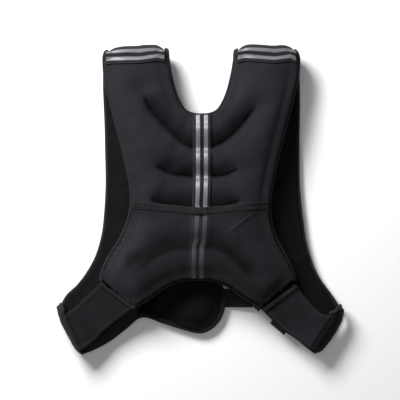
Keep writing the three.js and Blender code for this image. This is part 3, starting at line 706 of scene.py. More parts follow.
def seam_along(points, normals=None, pitch=None):
    """Places for stitches along a line of points, one to each pitch."""
    normals = normals or [UP] * len(points)
    pitch = pitch or sizes().stitch
    places = []
    travelled, due = 0.0, pitch / 2
    for i in range(len(points) - 1):
        span = points[i + 1] - points[i]
        while span.length > 0 and due <= travelled + span.length:
            share = (due - travelled) / span.length
            normal = normals[i].lerp(normals[i + 1], share)
            places.append((points[i] + span * share, span.normalized(), normal))
            due += pitch
        travelled += span.length
    return places


class Surface:
    """What lies under a strip: finished pieces that rays can be dropped on."""

    def __init__(self, *pieces):
        self.trees = []
        for piece in pieces:
            mesh = piece.data
            points = [vert.co.copy() for vert in mesh.vertices]
            faces = [tuple(polygon.vertices) for polygon in mesh.polygons]
            self.trees.append(BVHTree.FromPolygons(points, faces))

    def hit(self, start, direction):
        """The first point that a ray meets, or None."""
        found = None
        for tree in self.trees:
            point, _, _, distance = tree.ray_cast(start, direction, 0.2)
            if point is not None and (found is None or distance < found[0]):
                found = (distance, point)
        return found and found[1]

    def top(self, x, y):
        """Height of the highest face over a point, in metres, or not a number where none is."""
        found = self.hit(Vector((x, y, 0.15)), -UP)
        return np.nan if found is None else found.z


def laid_on(surface, line):
    """Heights of a strip over a surface. line is a list of (x, y) rows; heights are filled in
    past the surface's edge and evened out along the strip."""
    heights = np.array([[surface.top(x, y) for x, y in row] for row in line])
    for row in [*heights, *heights.T]:
        seen = ~np.isnan(row)
        if seen.any():
            row[~seen] = np.interp(np.flatnonzero(~seen), np.flatnonzero(seen), row[seen])
    for _ in range(3):
        level = (np.roll(heights, 1, 0) + heights + np.roll(heights, -1, 0)) / 3
        heights[1:-1] = np.maximum(level[1:-1], heights[1:-1])
    return heights


def evened(heights):
    """The mean of the four heights around each one."""
    around = np.pad(heights, 1, mode="edge")
    return (around[:-2, 1:-1] + around[2:, 1:-1] + around[1:-1, :-2] + around[1:-1, 2:]) / 4


# Panels

def channel_line(channel):
    """A channel's seam in the flat pattern, as a dense line of points."""
    points = [Vector((out * HALF_SPAN, run_at(BACK, down))) for out, down in channel.points]
    rows = spread(12 * len(points), 0, len(points) - 1)
    return np.array([tuple(spline(points, u)) for u in rows])


def off_line(line, points):
    """How far points lie from a line, the way from the line to each of them, and how far along
    the line each lies, from 0 to 1."""
    distance = np.full(len(points), 1e9)
    away, along = np.zeros((len(points), 2)), np.zeros(len(points))
    for i, (start, end) in enumerate(zip(line, line[1:])):
        span = end - start
        share = np.clip((points - start) @ span / max(span @ span, 1e-9), 0, 1)
        to = points - start - share[:, None] * span
        far = np.hypot(to[:, 0], to[:, 1])
        nearer = far < distance
        distance[nearer], away[nearer] = far[nearer], to[nearer]
        along[nearer] = (i + share[nearer]) / (len(line) - 1)
    return distance, away, along


class Edges:
    """The edges of a panel seen from above, in mm: its bound edges, and the ends where the side
    bands are sewn on."""

    def __init__(self, panel, sides):
        self.bound, self.ends = [], []
        for side in sides:
            rows = spread(120, 0, panel.last)
            self.bound.append(self.placed(panel, side, [panel.outer(u, 0) for u in rows], 14))
            if panel.face == BACK:
                neck = [panel.neck(u, 0) for u in spread(60, 0, NECK_ROW)]
                hem = [panel.hem(u, 0) for u in spread(50, HEM_ROW, panel.last)]
                self.bound += [self.placed(panel, side, neck), self.placed(panel, side, hem, 14)]
                last = [panel.hem(panel.last, 0), panel.outer(panel.last, 0)]
            else:
                inner = [panel.inner(u, 0) for u in rows]
                self.bound.append(self.placed(panel, side, inner, 14))
                last = [panel.inner(panel.last, 0), panel.outer(panel.last, 0)]
            self.ends.append(self.placed(panel, side, last))

    def placed(self, panel, side, points, further=0):
        """Points of an edge, and a last one further on past its end."""
        line = [tuple(lay(panel.face, side, p.x, p.y, 3).xy / MM) for p in points]
        ahead = np.subtract(line[-1], line[-2])
        last = [line[-1] + ahead / np.linalg.norm(ahead) * further] if further else []
        return np.array(line + last)

    def nearest(self, lines, points):
        """Distance from the nearest of some lines, and the way out to it."""
        found = [off_line(line, points)[:2] for line in lines]
        nearest = np.argmin([distance for distance, _ in found], 0)
        rows = np.arange(len(points))
        distance = np.array([d for d, _ in found])[nearest, rows]
        away = np.array([a for _, a in found])[nearest, rows]
        return distance, -away / np.maximum(distance, 1e-6)[:, None]

    def rim(self, points):
        return self.nearest(self.bound, points)

    def end(self, points):
        return self.nearest(self.ends, points)[0]


def solid_skin(node):
    """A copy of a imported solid's skin, as one mesh of even quads, slightly relaxed."""
    piece = bpy.data.objects.new("skin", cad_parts[node].data.copy())
    bpy.context.scene.collection.objects.link(piece)
    whole = bmesh.new()
    whole.from_mesh(piece.data)
    bmesh.ops.remove_doubles(whole, verts=whole.verts, dist=0.00001)
    whole.to_mesh(piece.data)
    whole.free()
    remesh = piece.modifiers.new("Remesh", "REMESH")
    remesh.mode = "VOXEL"
    remesh.voxel_size = sizes().voxel
    bake(piece)
    relax(piece, 3)
    return piece


def relax(piece, times):
    """Evens out the points of a skin."""
    relaxed = bmesh.new()
    relaxed.from_mesh(piece.data)
    ways = {"use_axis_x": True, "use_axis_y": True, "use_axis_z": True}
    for _ in range(times):
        bmesh.ops.smooth_vert(relaxed, verts=relaxed.verts, factor=0.5, **ways)
    relaxed.to_mesh(piece.data)
    relaxed.free()


def bake(piece):
    """Replaces a piece's mesh by what its modifiers make of it."""
    bpy.context.view_layer.update()
    graph = bpy.context.evaluated_depsgraph_get()
    mesh = bpy.data.meshes.new_from_object(piece.evaluated_get(graph))
    piece.modifiers.clear()
    old, piece.data = piece.data, mesh
    bpy.data.meshes.remove(old)


def points_of(mesh):
    co = np.zeros(len(mesh.vertices) * 3, np.float32)
    mesh.vertices.foreach_get("co", co)
    return co.reshape(-1, 3).astype(float) / MM


def normals_of(mesh):
    return np.array([tuple(vert.normal) for vert in mesh.vertices])


def set_points(mesh, co):
    mesh.vertices.foreach_set("co", (co * MM).astype(np.float32).ravel())
    mesh.update()


def rumple(co, pitch, seed):
    """Smooth random heights from -1 to 1 at points in mm, with bumps about a pitch apart."""
    shift = Vector((seed, seed * 0.7, seed * 1.3))
    return np.array([noise.noise(Vector(point) / pitch + shift) for point in co])


def fill(piece, held, reach):
    """Lets the filling press a skin out. held is how firmly each point is sewn down, from 0 to 1,
    and reach is how far each point may move, in mm."""
    group = piece.vertex_groups.new(name="sewn")
    for index, weight in enumerate(held):
        group.add([index], float(weight), "REPLACE")
    before = points_of(piece.data)
    cloth = piece.modifiers.new("Cloth", "CLOTH")
    cloth.settings.quality = 4
    cloth.settings.mass = 0.3
    cloth.settings.tension_stiffness = 12
    cloth.settings.compression_stiffness = 12
    cloth.settings.bending_stiffness = 0.6
    cloth.settings.shrink_min = -0.02
    cloth.settings.vertex_group_mass = "sewn"
    cloth.settings.use_pressure = True
    cloth.settings.uniform_pressure_force = sizes().pressure
    cloth.settings.effector_weights.gravity = 0
    cloth.collision_settings.use_collision = False
    scene = bpy.context.scene
    for number in range(1, 21):
        scene.frame_set(number)
    bake(piece)
    scene.frame_set(1)
    moved = points_of(piece.data) - before
    far = np.linalg.norm(moved, axis=1)
    share = np.minimum(1, reach / np.maximum(far, 1e-9))
    set_points(piece.data, before + moved * share[:, None])
    relax(piece, 10)


def subdivided(piece):
    """Splits each facet of a skin into four and smooths them."""
    finer = piece.modifiers.new("Subdivision", "SUBSURF")
    finer.levels = finer.render_levels = 1
    bake(piece)


TUCK = 2.7  # how far a panel's rim reaches on into its folded strip


def tucked(co, normals, face, edges):
    """Draws a panel's rim out into its folded strip and thins it there."""
    rim, outward = edges.rim(co[:, :2])
    facing = ease((normals[:, :2] * outward).sum(1), 0.1, 0.7)
    drawn = TUCK * (1 - ease(rim, 7, 15))
    drawn += facing * np.clip(rim - drawn - 4.2, 0, 7) * (1 - ease(rim, 13, 17))
    co[:, :2] += outward * drawn[:, None]
    straight = co[:, 1] - SPINE[1] < FOLD_Y - 4
    runs = FOLD_Y - (co[:, 1] - SPINE[1])
    if face == FRONT:
        runs = FOLD_ARC + runs
    rims = np.array([rim_height(face, run) for run in runs])
    middle = FOLD_Z + face * (FOLD_RADIUS + rims + RIM / 2)
    thin = 1 - 0.25 * (1 - ease(rim, 7, 11))
    co[:, 2] = np.where(straight, middle + (co[:, 2] - middle) * thin, co[:, 2])


def pressed_with_painted_shade(co, up, body):
    """Presses the sewn channels into the back panel, and returns the shade painted on each point:
    on the slope above each seam and in its crease.
    """
    plan = np.column_stack(plan_of(co))
    painted_shading = np.zeros(len(co))
    for channel in CHANNELS:
        distance, away, along = off_line(channel_line(channel), plan)
        firm = body * up * ease(along, 0, 0.16) * ease(1 - along, 0, 0.16)
        close = (distance < 1.6) & (firm > 0.3)
        co[close, 0] -= away[close, 0] * 0.7
        co[close, 1] += away[close, 1] * 0.7
        width = np.where(away[:, 1] > 0, channel.below, channel.above)
        slope = np.exp(-(distance / width) ** 1.3)
        crease = np.exp(-(distance / 1.9) ** 2)
        gather = rumple(np.column_stack((plan[:, 0], plan[:, 1] * 0.2, plan[:, 0] * 0)), 6, 3.1)
        co[:, 2] -= (channel.depth * slope + 1.6 * crease) * firm
        co[:, 2] += 0.4 * gather * np.exp(-distance / 7) * firm
        # Painted shade: darker down the slope above each seam and darkest in its crease, where
        # shade falls.
        reach = np.where(away[:, 1] > 0, 3.6, channel.above * 0.95)
        painted_shading = np.maximum(painted_shading, channel.shade * np.exp(-(distance / reach) ** 1.3) * firm)
        core = np.exp(-(distance / np.where(away[:, 1] > 0, 2.6, 7)) ** 2) * ease(firm, 0, 0.4)
        painted_shading = np.maximum(painted_shading, (channel.shade > 0.8) * 0.98 * core)
    return painted_shading


def back_shell():
    """The filled back panel, sewn through along its channels."""
    piece = solid_skin("back_panel")
    edges = Edges(back, (LEFT, RIGHT))
    co, up = points_of(piece.data), normals_of(piece.data)[:, 2] > 0
    rim = np.minimum(edges.rim(co[:, :2])[0], edges.end(co[:, :2]))
    plan = np.column_stack(plan_of(co))
    seam = np.min([off_line(channel_line(channel), plan)[0] for channel in CHANNELS], 0)
    held = np.maximum(1 - ease(rim, 7, 14), (1 - ease(seam, 2, 7)) * up)
    fill(piece, held, np.where(up, 4.5, 1.5) * ease(rim, 6, 22))
    subdivided(piece)
    mesh = piece.data
    co, up = points_of(mesh), ease(normals_of(mesh)[:, 2], -0.1, 0.3)
    rim = edges.rim(co[:, :2])[0]
    body = ease(np.minimum(rim, edges.end(co[:, :2])), 7, 24)
    painted_shading = pressed_with_painted_shade(co, up, body)
    pucker = rumple(co, 6, 5) * np.exp(-rim / 9) * ease(rim, 6, 9)
    co[:, 2] += (rumple(co, 45, 4) * 0.8 + rumple(co, 18, 9) * 0.12) * body * up + 0.4 * pucker * up
    tucked(co, normals_of(mesh), BACK, edges)
    set_points(mesh, co)
    return dressed("back_shell", piece, ["back_panel"], painted_shading)


def dressed(name, skin, nodes, painted_shading):
    """Turns a finished skin into a padded piece, with its lining on the inside."""
    mesh = skin.data
    bpy.data.objects.remove(skin)
    for layer in list(mesh.uv_layers):
        mesh.uv_layers.remove(layer)
    mesh.name = name
    # The shade painted on the skin, stored for its finishes to read.
    shade = mesh.attributes.new("painted_shading", "FLOAT", "POINT")
    shade.data.foreach_set("value", painted_shading.astype(np.float32))
    piece = add_piece(name, mesh, ["neoprene", "lining"], "neoprene", nodes)
    for polygon in mesh.polygons:
        at = polygon.center / MM
        inward = FOLD_Z - at.z
        if at.y - SPINE[1] > FOLD_Y:
            inner = Vector((0, FOLD_Y + SPINE[1] - at.y, inward)).dot(polygon.normal) > 0
        else:
            inner = inward * polygon.normal.z > 0
        polygon.material_index = int(inner)
    return piece


def shade_under_the_net(piece):
    """Gives the back panel a near black finish where the net lies over it: painted shade under the
    net.
    """
    piece.data.materials.append(finish("shade_under_net"))
    mesh = piece.data
    centres = np.array([tuple(polygon.center) for polygon in mesh.polygons]) / MM
    plan = np.column_stack(plan_of(centres))
    top = back.spine(NET_ROW, 0).y - 1
    for polygon, (x, run) in zip(mesh.polygons, plan):
        slope = (back.outer(NET_ROW, 0).y - back.spine(NET_ROW, 0).y) * abs(x) / 110
        if polygon.material_index == 0 and run > top + slope:
            polygon.material_index = 2


# Folds of the left front panel's lower corner, seen from above past the back panel's hem:
# ends in mm in the frame, how deep, how wide. A raised fold is a negative depth.
LOBE_FOLDS = [
    ((-98, -184.5), (-87, -160), 11, 2.6),
    ((-88, -184), (-73.5, -153), 12, 2.8),
    ((-80, -184), (-44, -135), -4, 6.5),
    ((-58, -193), (-18, -150), 3, 13),
    ((22, -205), (33, -160), 1.5, 8),
]

# The lower part of the left wing, past the line between these two points, takes the knit finish
# in place of its lining: painted light where the band's shadow falls on it.
WING_PAINTED_LIGHT = ((-100, -164), (-188.8, -238.6))

# How far the end of each front wing is rounded out past the line between its two corners, and
# how far in from its end the wing still moves
WING_ROUND = {LEFT: 13, RIGHT: 12.5}
WING_REACH = 32.0


def rounding(shares):
    """Shape of the rounded end of a wing, by shares from its top corner to its lower one."""
    return np.sin(np.pi * np.clip(shares, 0, 1)).clip(0) ** (0.62 - 0.3 * np.clip(shares, 0, 1))


def rounded_end(panel, side, points):
    """How far to move points in mm so that the end of a front wing is rounded."""
    ends = [lay(FRONT, side, p.x, p.y, 3).xy / MM
            for p in (panel.inner(panel.last, 0), panel.outer(panel.last, 0))]
    line = np.array([tuple(p) for p in ends])
    distance, _, along = off_line(line, points)
    across = (line[1] - line[0]) / np.linalg.norm(line[1] - line[0])
    outward = np.array((across[1], -across[0])) * (1 if side == LEFT else -1)
    outward = outward * (1 if outward[0] * side > 0 else -1)
    moved = WING_ROUND[side] * rounding(1 - along) * (1 - ease(distance, 2, WING_REACH))
    return outward * moved[:, None]


def front_shell(side):
    """A filled front panel, from its seam on the shoulder round to its wing."""
    word = WORDS[side]
    piece = solid_skin(f"front_panel_{word}")
    edges = Edges(fronts[side], (side,))
    co, normals = points_of(piece.data), normals_of(piece.data)
    rim = edges.rim(co[:, :2])[0]
    low = co[:, 2] < FOLD_Z
    lining = low & (normals[:, 2] > 0)
    held = np.where(low | (co[:, 1] < 215), 1 - ease(rim, 7, 14), 0.5)
    fill(piece, held, np.where(lining, 2.2, 3.5) * ease(rim, 6, 22))
    subdivided(piece)
    mesh = piece.data
    co, normals = points_of(mesh), normals_of(mesh)
    rim = edges.rim(co[:, :2])[0]
    body = ease(rim, 7, 22)
    pucker = rumple(co, 6, 7) * np.exp(-rim / 9) * ease(rim, 6, 9)
    move = (rumple(co, 42, 14 + side) + rumple(co, 16, 19) * 0.35) * body + 0.5 * pucker
    co += normals * move[:, None]
    shown = ease(normals[:, 2], 0, 0.2) * (co[:, 2] < FOLD_Z)
    # Painted shade along the rim where the panel meets its binding, and in each sunken fold below.
    painted_shading = 0.3 * np.exp(-((rim - 7) / 2) ** 2)
    if side == LEFT:
        for start, end, depth, width in LOBE_FOLDS:
            distance = off_line(np.array((start, end), float), co[:, :2])[0]
            dip = np.exp(-(distance / width) ** 2) * shown
            co[:, 2] -= depth * dip
            painted_shading = np.maximum(painted_shading, dip * clamp(depth / 12, 0, 0.85))
    tucked(co, normals, FRONT, edges)
    co[:, :2] += rounded_end(fronts[side], side, co[:, :2])
    co[:, 2] = np.maximum(co[:, 2], 0)
    set_points(mesh, co)
    piece = dressed(f"front_shell_{word}", piece, [f"front_panel_{word}"], painted_shading)
    if side == LEFT:
        start, end = (np.array(point) for point in WING_PAINTED_LIGHT)
        across = np.array((start[1] - end[1], end[0] - start[0])) / np.linalg.norm(end - start)
        # Painted light: the lighter knit where the band's shadow falls.
        for polygon in piece.data.polygons:
            at = np.array(polygon.center.xy) / MM
            if at[0] < start[0] and (at - start) @ across > 2.5:
                polygon.material_index = 0
    return piece


class VEST_OT_panels(Operator):
    """Fills the back panel and the two front panels and sews their channels."""

    bl_idname = "vest.panels"
    bl_label = "Padded Panels"

    def execute(self, context):
        shade_under_the_net(back_shell())
        front_shell(LEFT)
        front_shell(RIGHT)
        return {"FINISHED"}


# Bound edges

WRAP = 3.55  # half the height of a folded strip, at the middle of its cloth
LIP = 6.9  # how far a folded strip reaches in over its panel
SEAM_LINES = ((5.9, 1), (5.9, -1), (4.3, 1))  # its stitches: in from the outline, which face
GATHER_PITCH = 6.2  # between two small gathers along it
BINDING_CLOTH = 0.9  # its thickness
GROOVE = 5.1  # where its stitches press a groove, in from the outline


def bound(name, node, panel, spans):
    """A strip of cloth folded over a bound edge. spans is a list of (side, edge, rows)."""
    places = [(side, edge, u) for side, edge, rows in spans for u in rows]
    straight = LIP - WRAP
    arc = math.pi * WRAP
    around = 2 * straight + arc

    def at(side, edge, u, distance, rise):
        point = edge(u, distance)
        height = rim_height(panel.face, point.y) + RIM / 2
        return lay(panel.face, side, point.x, point.y, height + rise)

    middle = [at(*spot, 0, 0) for spot in places]
    length = sum((b - a).length for a, b in zip(middle, middle[1:]))

    def place(along, across):
        side, edge, u = places[min(round(along * (len(places) - 1)), len(places) - 1)]
        way = across * around
        if way < straight:
            distance, rise = LIP - way, WRAP
        elif way > straight + arc:
            distance, rise = WRAP + way - straight - arc, -WRAP
        else:
            angle = (way - straight) / WRAP
            distance = WRAP - WRAP * math.sin(angle)
            rise = WRAP * math.cos(angle)
        swell = 0.25 * noise.noise(Vector((along * len(places) * 0.35, across * 3, 2.5)))
        gather = 0.3 * math.sin(along * length / MM * 2 * math.pi / GATHER_PITCH)
        gather *= math.exp(-(LIP - distance) / 2.5)
        groove = 0.45 * math.exp(-((distance - GROOVE) / 0.5) ** 2)
        return at(side, edge, u, distance, rise * (1 + (swell + gather - groove) / 4))

    # Painted shade in the groove of the stitches, painted light along the rounded edge.
    def painted_shading(along, across):
        way = across * around
        distance = LIP - way if way < straight else WRAP + way - straight - arc
        groove = 0.75 * math.exp(-((distance - GROOVE) / 0.55) ** 2)
        return groove - 0.3 * math.exp(-((distance - 2.6) / 1.1) ** 2)

    halfway = places[len(places) // 2]
    piece = strip(name, [node], "binding", "binding", (len(places) - 1, 20), (length, around * MM),
                  place, BINDING_CLOTH * MM, at(*halfway, 0, 0) - at(*halfway, LIP, 0), painted_shading)
    stitches = []
    for distance, face in SEAM_LINES:
        points = [at(*spot, distance, face * (WRAP + 0.5)) for spot in places]
        below = [at(*spot, distance, 0) for spot in places]
        stitches += seam_along(points, [(p - q).normalized() for p, q in zip(points, below)])
    sew(piece, stitches)


class VEST_OT_bindings(Operator):
    """Folds a strip of cloth over each bound edge and sews it down."""

    bl_idname = "vest.bindings"
    bl_label = "Bound Edges"

    def execute(self, context):
        step = 9  # places to a row
        neck = spread(NECK_ROW * step, 0, NECK_ROW)
        bound("neck_edge", "neck_binding", back,
              [(LEFT, back.neck, neck), (RIGHT, back.neck, neck[-2::-1])])
        hem = spread(int((back.last - HEM_ROW) * step * 1.5), HEM_ROW, back.last)
        bound("hem_edge", "hem_binding", back,
              [(LEFT, back.hem, hem[::-1]), (RIGHT, back.hem, hem[1:])])
        for side, word in WORDS.items():
            front = fronts[side]
            rows = spread(back.last * step, 0, back.last)
            bound(f"back_edge_{word}", f"back_binding_{word}", back, [(side, back.outer, rows)])
            rows = spread(24, 0, 2) + spread((front.last - 2) * step, 2, front.last)[1:]
            for kind, edge in (("outer", front.outer), ("inner", front.inner)):
                bound(f"front_{kind}_edge_{word}", f"front_{kind}_binding_{word}", front,
                      [(side, edge, rows)])
        return {"FINISHED"}


# Webbing and stripes

TAPE = 1.5  # thickness of the webbing
STRIPE = 0.5  # thickness of a stripe
SPINE_ENDS = (-121.5, 133)  # lowest and highest end of the webbing on the spine


def on_spine(name, node, slot, word, middle, width, thickness, surface, crown, seam):
    """A strip along the spine, laid over what is under it. seam says in which row from each edge
    its stitches run, their lift in mm and their radius."""
    low, high = SPINE_ENDS
    columns = int((high - low) / 1.6)
    rows = 12 if width > 10 else 6
    sideways = [middle + lerp(-width / 2, width / 2, v) for v in spread(rows)]
    line = [
        [((webbing_x(y) + x) * MM, y * MM) for x in sideways] for y in spread(columns, low, high)
    ]
    heights = laid_on(surface, line)
    level = np.repeat(heights.mean(1, keepdims=True), rows + 1, 1)
    heights = heights * 0.45 + level * 0.55 + (0.25 + thickness) * MM

    def place(along, across):
        i, j = round(along * columns), round(across * rows)
        x, y = line[i][j]
        edge = abs(2 * across - 1) ** 4
        return Vector((x, y, heights[i][j] - crown * edge * MM))

    # Painted shade over the middle of the webbing, painted light along its raised edges.
    def painted_shading(along, across):
        return 0.22 - 0.6 * abs(2 * across - 1) ** 6 if word == "webbing" else 0

    piece = strip(name, [node], word, slot, (columns, rows), ((high - low) * MM, width * MM),
                  place, thickness * MM, painted_shading=painted_shading)
    row, lift, radius = seam
    stitches = []
    for j in (row, rows - row):
        stitches += seam_along(
            [Vector((*at[j], z[j] + lift * MM)) for at, z in zip(line, heights)])
    sew(piece, stitches, radius)
    return piece


class VEST_OT_spine(Operator):
    """Lays the webbing and its two reflective stripes along the spine."""

    bl_idname = "vest.spine"
    bl_label = "Spine Webbing"

    def execute(self, context):
        width, stripe, gap = (
            value / MM for value in (sizes().webbing, sizes().stripe, sizes().stripe_spacing))
        tape = on_spine(
            "spine_webbing", "spine_tape", "webbing", "webbing", 0, width, TAPE,
            Surface(bpy.data.objects["back_shell"]), 0.5, (1, 0.15, THREAD))
        for side, word in WORDS.items():
            on_spine(
                f"spine_stripe_strip_{word}", f"spine_stripe_{word}", "reflective_stripe", "stripe",
                side * gap / 2, stripe, STRIPE, Surface(tape), 0.12, (0, 0.1, STRIPE_THREAD))
        return {"FINISHED"}


def on_shoulder(name, node, slot, word, side, ways, thickness, surface, inset, crown):
    """A strip over a shoulder fold, between two distances along the outer face."""
    columns, rows = 48, max(4, int((ways[1] - ways[0]) / 1.2))
    inner = SHOULDER_ROW[0] * HALF_SPAN + inset
    outer = SHOULDER_ROW[1] * HALF_SPAN - inset

    def ray(u, v):
        out, way = lerp(inner, outer, u), lerp(ways[0], ways[1], v)
        far = lay(BACK, side, out, way, 60)
        toward = (lay(BACK, side, out, way, 0) - far).normalized()
        found = surface.hit(far, toward)
        return far, toward, np.nan if found is None else (found - far).length / MM

    rays = [[ray(u, v) for v in spread(rows)] for u in spread(columns)]
    depths = np.array([[depth for _, _, depth in row] for row in rays])
    usual = np.nanmedian(depths)
    depths = np.where(np.isnan(depths) | (np.abs(depths - usual) > 9), usual, depths)
    for _ in range(3):
        depths = np.minimum(depths, depths * 0.4 + evened(depths) * 0.6)

    def place(along, across, lift=0.25 + thickness):
        i, j = round(along * columns), round(across * rows)
        far, toward, _ = rays[i][j]
        return far + toward * (depths[i][j] - lift + crown * abs(2 * across - 1) ** 6) * MM

    # The webbing and stripes over the shoulders get an even painted shade.
    piece = strip(
        name, [node], word, slot, (columns, rows), ((outer - inner) * MM, (ways[1] - ways[0]) * MM),
        place, thickness * MM, -rays[columns // 2][rows // 2][1], lambda along, across: 0.2)
    stitches = []
    for j in (1, rows - 1):
        line = [place(u, j / rows, 0.35 + thickness) for u in spread(columns)]
        stitches += seam_along(line, [-row[j][1] for row in rays])
    sew(piece, stitches, SHOULDER_THREAD)
    return piece


class VEST_OT_shoulders(Operator):
    """Lays webbing with two reflective stripes over the seam of each shoulder."""

    bl_idname = "vest.shoulders"
    bl_label = "Shoulder Webbing"

    def execute(self, context):
        back_piece = bpy.data.objects["back_shell"]
        half = sizes().webbing / MM / 2
        gap = sizes().stripe_spacing / MM / 2
        stripe = sizes().stripe / MM * 0.45
        for side, word in WORDS.items():
            under = Surface(back_piece, bpy.data.objects[f"front_shell_{word}"])
            seam = -SHOULDER_SEAM
            tape = on_shoulder(
                f"shoulder_webbing_{word}", f"shoulder_tape_{word}", "webbing", "webbing", side,
                (seam - half, seam + half), TAPE, under, EDGE, 0.4)
            over = Surface(tape)
            for kind, place in (("upper", -1), ("lower", 1)):
                middle = seam + place * gap
                on_shoulder(
                    f"shoulder_stripe_strip_{kind}_{word}", f"shoulder_stripe_{kind}_{word}",
                    "reflective_stripe", "stripe", side, (middle - stripe, middle + stripe),
                    STRIPE, over, EDGE + 0.4, 0.1)
        return {"FINISHED"}


# Pocket

HEM_SEAMS = (0.27, 0.55, 0.84)  # stitch lines across the hem's width
HEM_WIDTH = 0.011  # in metres, unrolled
HEM_CLOTH = 1.1  # its thickness
NET_EDGE = 5.6  # how far inside the outline the net is sewn down
NET_THICKNESS = 0.5


class Drape:
    """Heights of cloth that lies over the lower back and spans its steps."""

    def __init__(self, surface, low, high, pitch=1.5, spans=8):
        self.low, self.pitch = np.array(low, float), pitch
        counts = [int((b - a) / pitch) + 1 for a, b in zip(low, high)]
        xs = [low[0] + pitch * i for i in range(counts[0])]
        ys = [low[1] + pitch * j for j in range(counts[1])]
        heights = np.array([[surface.top(x * MM, y * MM) for y in ys] for x in xs])
        for column in heights:
            seen = np.flatnonzero(~np.isnan(column))
            if len(seen):
                column[:] = np.interp(range(len(column)), seen, column[seen])
        heights = np.where(np.isnan(heights), np.nanmedian(heights), heights)
        for _ in range(spans):
            heights = np.maximum(heights, evened(heights))
        self.heights = heights

    def at(self, x, y):
        """Height in metres over a point in mm."""
        i, j = (np.array((x, y)) - self.low) / self.pitch
        i = clamp(i, 0, self.heights.shape[0] - 1.001)
        j = clamp(j, 0, self.heights.shape[1] - 1.001)
        a, b = int(i), int(j)
        left = lerp(self.heights[a, b], self.heights[a, b + 1], j - b)
        right = lerp(self.heights[a + 1, b], self.heights[a + 1, b + 1], j - b)
        return lerp(left, right, i - a)


def across_back(u, share, distance):
    """A point at a row of the back: share runs from the left outer edge, -1, to the right, 1."""
    start, end = back.spine(u, 0), back.outer(u, distance)
    flat = Vector((0, start.y)).lerp(end, abs(share))
    return lay(BACK, RIGHT if share > 0 else LEFT, flat.x, flat.y, 0)


def hem_strip(name, node, drape, shares, lift, ends):
    """The folded hem along the top of the pocket, or the short end of it that laps over."""
    columns = max(12, int((shares[1] - shares[0]) * 90))

    def place(along, across, rise=0.0):
        share = lerp(shares[0], shares[1], along)
        point = across_back(lerp(POCKET_ROW, NET_ROW - 0.03, across), share, 5.2)
        x, y = point.xy / MM
        roll = 0.9 * math.exp(-((across - 0.1) / 0.11) ** 2) - 0.5 * across ** 8
        roll -= 0.5 * sum(math.exp(-((across - seam) / 0.05) ** 2) for seam in HEM_SEAMS)
        pucker = 0.22 * noise.noise(Vector((x * 0.3, across * 4, 7)))
        top = lift + lerp(0.3, 1.0, across) + HEM_CLOTH + roll + pucker + rise
        return Vector((x * MM, y * MM, drape.at(x, y) + top * MM))

    # Painted shade in the stitch lines, over the middle and along the lower edge; painted light
    # along the rolled top edge.
    def painted_shading(along, across):
        seams = max(math.exp(-((across - seam) / 0.045) ** 2) for seam in HEM_SEAMS)
        plain = 0.55 * smooth(across, 0.1, 0.3) - 0.2 * (1 - smooth(across, 0.05, 0.12))
        return max(0.8 * seams, plain, 0.9 * smooth(across, 0.93, 1))

    lengths = spread(columns)
    middle = [place(u, 0.5) for u in lengths]
    length = sum((b - a).length for a, b in zip(middle, middle[1:]))
    piece = strip(name, [node] if node else [], "binding", "binding", (columns, 20),
                  (length, HEM_WIDTH), place, HEM_CLOTH * MM, painted_shading=painted_shading)
    stitches = []
    for across in HEM_SEAMS:
        stitches += seam_along([place(u, across, 0.12) for u in lengths])
    for along in ends:
        line = [place(along, v, 0.12) for v in spread(10, 0.12, 0.92)]
        stitches += seam_along(line, pitch=sizes().stitch * 0.8)
    sew(piece, stitches, HEM_THREAD)


def net_region():
    """The outline of half of the net in the flat pattern, in mm from the spine and down."""
    top = back.spine(NET_ROW, 0).y - 2.5
    outer = [back.outer(u, NET_EDGE) for u in spread(60, NET_ROW, back.last)]
    hem = [back.hem(u, NET_EDGE) for u in spread(40, back.last, HEM_ROW)]
    points = [Vector((0, top)), Vector((outer[0].x, outer[0].y - 2.5))] + outer + hem
    points.append(Vector((0, hem[-1].y)))
    return np.array([tuple(p) for p in points])


def within(outline, x, y):
    """Whether a point lies inside a closed outline."""
    ahead = np.roll(outline, -1, 0)
    spans = (outline[:, 1] > y) != (ahead[:, 1] > y)
    with np.errstate(divide="ignore", invalid="ignore"):
        share = (y - outline[:, 1]) / (ahead[:, 1] - outline[:, 1])
        at = outline[:, 0] + share * (ahead[:, 0] - outline[:, 0])
    return bool((spans & (x < at)).sum() % 2)


# A pinched fold in the net: its two ends, in mm in the frame, its height and width
NET_FOLD = ((80.6, -22), (48.2, -47), 1.6, 2.2)


